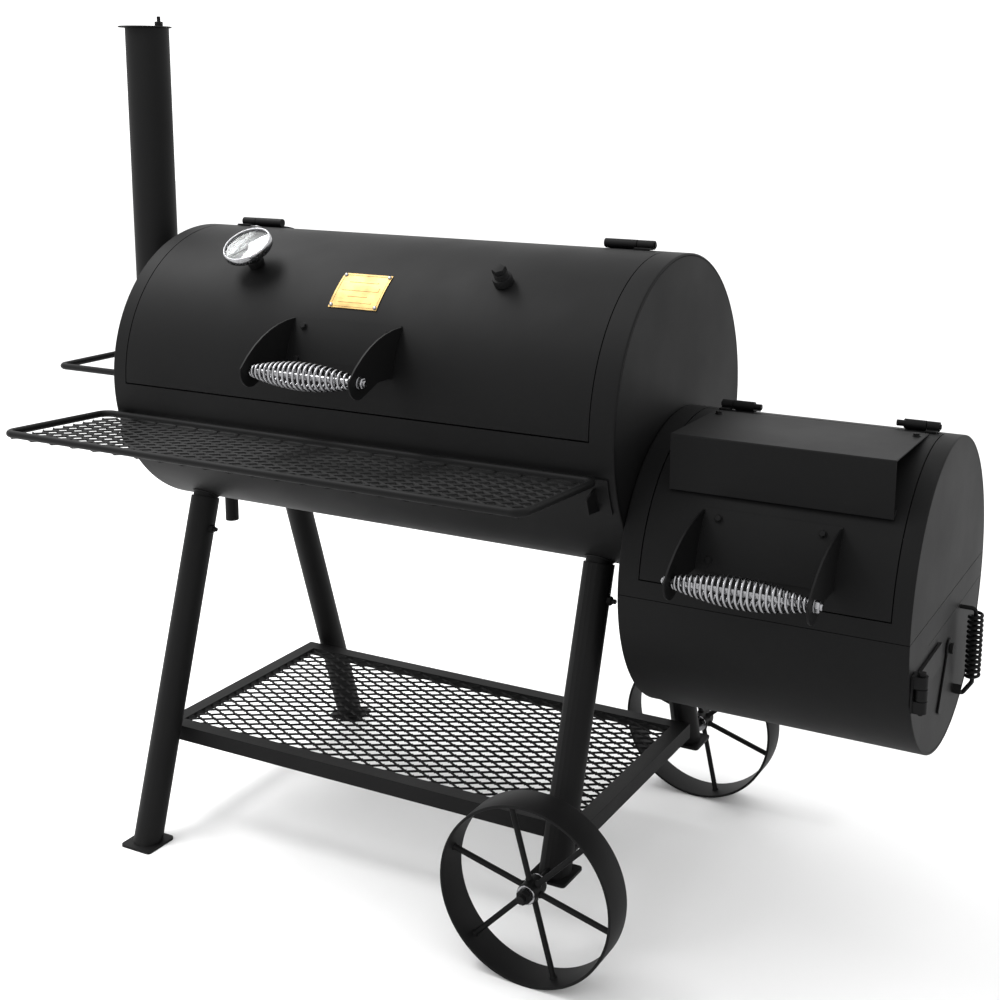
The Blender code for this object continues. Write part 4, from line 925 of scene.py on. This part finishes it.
def makePlate():
    """A thin curved plate with a raised border, plain raised bars and four screws."""
    low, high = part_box("name_plate")
    c = dict(chamber)
    c["r"], c["wall"] = chamber["r"] + 0.0014, 0.0012
    angles = np.linspace(plateLook["low"], plateLook["high"], 20)
    parts = [curvedSheet(c, [low.x, high.x], angles)]
    perDegree = math.pi / 180 * c["r"]
    edge = plateLook["border"]
    side = edge / perDegree
    c["r"], c["wall"] = c["r"] + 0.0005, 0.0006
    inset = plateLook["inset"]
    insetAngle = inset / perDegree
    bottom, top = plateLook["low"] + insetAngle, plateLook["high"] - insetAngle
    left, right = low.x + inset, high.x - inset
    parts.append(curvedSheet(c, [left, right], np.linspace(top - side / 2, top, 3)))
    parts.append(curvedSheet(c, [left, right], np.linspace(bottom, bottom + side / 2, 3)))
    parts.append(curvedSheet(c, [left, left + edge / 2], np.linspace(bottom, top, 16)))
    parts.append(curvedSheet(c, [right - edge / 2, right], np.linspace(bottom, top, 16)))
    piece("makersPlate", parts, "brass", "main_lid_body", ("name_plate",), 30, 0.0002)
    bars = []
    span = high.x - low.x
    for angle, start, end, tall in plateLook["bars"]:
        heights = np.linspace(angle - tall / 2, angle + tall / 2, 4)
        bars.append(curvedSheet(c, [low.x + start * span, low.x + end * span], heights))
    piece("plateBars", bars, "brass", "main_lid_body", (), 30, 0.0002)
    screws = []
    for x in (low.x + 0.0045, high.x - 0.0045):
        for angle in (plateLook["low"] + 1.0, plateLook["high"] - 1.0):
            at = onBarrel(chamber, x, angle, chamber["r"] + 0.0022)
            screws.append(domedScrew(at, outOf(angle), 0.0033, 0.0020))
    piece("plateScrews", screws, "chrome", "main_lid_body", (), 40)


# Small fasteners
# Each bracket's bolts: how far in from its ends, and the angle round the barrel.
mainSpots, fireSpots = ((0.0246, 28.9), (0.0246, 16.7)), ((0.0263, 32.0), (0.0226, 17.7))


def makeFasteners():
    handles = (
        (chamber, "main_handle_bracket", "mainBracketBolts", mainSpots),
        (firebox, "firebox_handle_bracket", "fireboxBracketBolts", fireSpots),
    )
    for barrel, node, name, spots in handles:
        low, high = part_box(node)
        parts = []
        for inset, angle in spots:
            for x in (low.x + inset, high.x - inset):
                at = onBarrel(barrel, x, angle, barrel["r"] + 0.0034)
                parts += hexBolt(at, outOf(angle), 0.0090, 0.0042, 0.0062)
        piece(name, parts, "black_paint", bodyOf[node], (), 30)
    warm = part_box("warming_plate")
    screws = []
    for x in (warm[0].x + 0.0145, warm[1].x - 0.0125):
        screws += hexBolt((x, warm[1].y - 0.025, warm[1].z), zAxis, 0.0085, 0.0035, 0.0060)
    piece("warmingPlateScrews", screws, "black_paint", "firebox_lid_body", (), 30)
    makeLegBolts()


def makeLegBolts():
    """A set bolt through the side of each leg, just under its top."""
    parts = []
    for x in legLook["x"]:
        for side in (-1, 1):
            out = chamber["left"] + x + legLook["radius"] - 0.001
            at = legPoint(legLook["boltZ"], side) + out * xAxis
            parts += hexBolt(at, xAxis, 0.013, 0.007, 0.0, 0.006)
    piece("legBolts", parts, "black_paint", "stand", (), 30)


def makeRods():
    for node, body in (("main_handle_rod", "main_lid_body"), ("firebox_handle_rod", "firebox_lid_body")):
        low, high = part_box(node)
        y, z = (low.y + high.y) / 2, (low.z + high.z) / 2
        start, length = np.array([low.x, y, z]), high.x - low.x
        rod = [(0.0038, 0), (0.0048, 0.001), (0.0048, length - 0.001), (0.0038, length)]
        parts = [turned(rod, start, xAxis, 24)]
        for offset, way in ((0.0116, -1), (length - 0.0116, 1)):
            parts += hexBolt(start + offset * xAxis, way * xAxis, 0.0150, 0.0070, 0.0095)
        piece(f"rod_{node}", parts, "chrome", body, (node,), 34)


# Stack, side handle, legs and everything kept from the CAD with softened edges
stackLook = {"radius": 0.0397, "elbow": 0.062, "wall": 0.0020}


def makeStack():
    low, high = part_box("smokestack")
    radius = stackLook["radius"]
    x = low.x + radius
    y = chamber["y"]
    corners = [(x, y, high.z), (x, y, chamber["z"]), (chamber["left"] - 0.0006, y, chamber["z"])]
    path = roundedPath(corners, stackLook["elbow"], 14)
    outer, _ = tube(path, radius, 64, yAxis)
    inner, _ = tube(path, radius - stackLook["wall"], 64, yAxis)
    rings = np.concatenate([outer, inner[::-1]])
    parts = [(rings, gridFaces(len(rings), 64, True).tolist())]
    flange = [(radius + 0.0005, 0.0005), (0.0565, 0.0005), (0.0580, 0.0015), (0.0580, 0.0036)]
    flange += [(0.0570, 0.0046), (0.0440, 0.0046), (0.0420, 0.0070), (radius, 0.0082)]
    base = (chamber["left"], y, chamber["z"])
    parts.append(turned(flange, base, -xAxis, 64, True))
    tab = (np.array([x + 0.0200, y, high.z - 0.0095]), xAxis, yAxis)
    tabEnd = radius - 0.021
    parts.append(slab([(0, -0.009), (tabEnd, -0.009), (tabEnd, 0.009), (0, 0.009)], *tab, 0.0022))
    piece("stackPipe", parts, "black_paint", "stand", ("smokestack",), 36, 0.0)


def makeCap():
    low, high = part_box("stack_cap")
    centre = np.array([(low.x + high.x) / 2, (low.y + high.y) / 2, low.z])
    r = (high.x - low.x) / 2
    disc = [(0.002, 0), (r - 0.0008, 0), (r, 0.0006), (r, 0.0018), (r - 0.0008, 0.0025), (0.002, 0.0025)]
    piece("stackLid", [turned(disc, centre, zAxis, 80)], "black_paint", "cap", ("stack_cap",), 30)


keptWithSoftEdges = {
    "side_handle": 0.0006, "grease_drain": 0.0004, "stack_cap_bolt": 0.0004,
    "main_handle_bracket": 0.0006, "firebox_handle_bracket": 0.0006, "warming_plate": 0.0007,
    "main_hinge_left_base": 0.0006, "main_hinge_right_base": 0.0006, "main_hinge_left_leaf": 0.0006,
    "main_hinge_right_leaf": 0.0006, "firebox_hinge_left_base": 0.0006, "firebox_hinge_right_base": 0.0006,
    "firebox_hinge_left_leaf": 0.0006, "firebox_hinge_right_leaf": 0.0006, "firebox_door": 0.0004,
    "door_hinge_base": 0.0006, "door_hinge_strap": 0.0006, "door_hinge_pin": 0.0004, "door_handle_rod": 0.0,
    "air_damper": 0.0005, "air_damper_bolt": 0.0004, "leg_front_left": 0.0006, "leg_rear_left": 0.0006,
    "leg_front_right": 0.0006, "leg_rear_right": 0.0006, "lower_shelf_frame": 0.0006,
    "shelf_bracket_left": 0.0005, "shelf_bracket_right": 0.0005, "axle": 0.0006,
    "cooking_grate_left": 0.0008, "cooking_grate_middle": 0.0008, "cooking_grate_right": 0.0008,
    "charcoal_grate": 0.0008,
}


def makeKept():
    for node, bevel in keptWithSoftEdges.items():
        words = node.split("_")
        softened(node, words[0] + "".join(word.capitalize() for word in words[1:]), None, bevel)


makeChamber()
makeMainLid()
makeFirebox()
makeFireboxLid()
print("barrels and lids done")
makeGrips()
makeShelves()
makeWheels()
print("grips, shelves and wheels done")
makeGauge()
makePlug()
makePlate()
makeFasteners()
makeRods()
makeStack()
makeCap()
makeKept()
print("all pieces done")

# Studio
studio = {"floor": 0.80, "sky": 1.5, "key": 175, "fill": 14, "rim": 14}


def makeFloor():
    mesh = bpy.data.meshes.new("floor")
    size = 14.0
    corners = [(-size, -size, 0), (size, -size, 0), (size, size, 0), (-size, size, 0)]
    mesh.from_pydata(corners, [], [(0, 1, 2, 3)])
    floor = bpy.data.objects.new("floor", mesh)
    s = Shader("paleFloor")
    tone = s.mix(s.noise(0.5, 2), (studio["floor"],) * 3, (studio["floor"] * 0.985,) * 3)
    s.link(tone, "Base Color")
    s.principled.inputs["Roughness"].default_value = 0.75
    floor.data.materials.append(s.material)
    bpy.context.scene.collection.objects.link(floor)


def areaLight(name, at, towards, size, power):
    light = bpy.data.lights.new(name, "AREA")
    light.shape = "RECTANGLE"
    light.size, light.size_y = size
    light.energy = power
    made = bpy.data.objects.new(name, light)
    bpy.context.scene.collection.objects.link(made)
    made.location = at
    direction = np.array(towards, float) - np.array(at, float)
    yaw = math.atan2(direction[0], -direction[1])
    pitch = math.atan2(math.hypot(direction[0], direction[1]), -direction[2])
    made.rotation_euler = (pitch, 0, yaw)
    return made


def makeLights():
    world = bpy.data.worlds.new("studio")
    world.use_nodes = True
    world.node_tree.nodes["Background"].inputs["Color"].default_value = (1, 1, 1, 1)
    world.node_tree.nodes["Background"].inputs["Strength"].default_value = studio["sky"]
    bpy.context.scene.world = world
    areaLight("overhead", (-1.5, -0.3, 3.0), (0, 0, 0.9), (1.8, 1.8), studio["key"])
    areaLight("leftFill", (-3.2, -1.6, 1.9), (0, 0, 0.8), (2.0, 2.4), studio["fill"])
    areaLight("rightRim", (3.3, 0.6, 1.8), (0.3, 0, 0.7), (1.6, 2.6), studio["rim"])


cameraLook = {
    "at": (1.2178, -2.0612, 1.3319),
    "yaw": 27.032,
    "pitch": 10.735,
    "roll": 0.446,
    "lens": 52.56,
    "shift": (-0.06953, -0.13453),
}


def makeCamera():
    data = bpy.data.cameras.new("camera")
    data.lens = cameraLook["lens"]
    data.sensor_width = 36
    data.shift_x, data.shift_y = cameraLook["shift"]
    camera = bpy.data.objects.new("camera", data)
    camera.location = cameraLook["at"]
    turns = ((cameraLook["yaw"], "Z"), (90 - cameraLook["pitch"], "X"), (cameraLook["roll"], "Z"))
    yaw, tip, roll = (Matrix.Rotation(math.radians(angle), 3, axis) for angle, axis in turns)
    camera.rotation_euler = (yaw @ tip @ roll).to_euler()
    bpy.context.scene.collection.objects.link(camera)
    bpy.context.scene.camera = camera


makeFloor()
makeLights()
makeCamera()
bpy.context.scene.view_settings.view_transform = "Standard"
print("studio done")
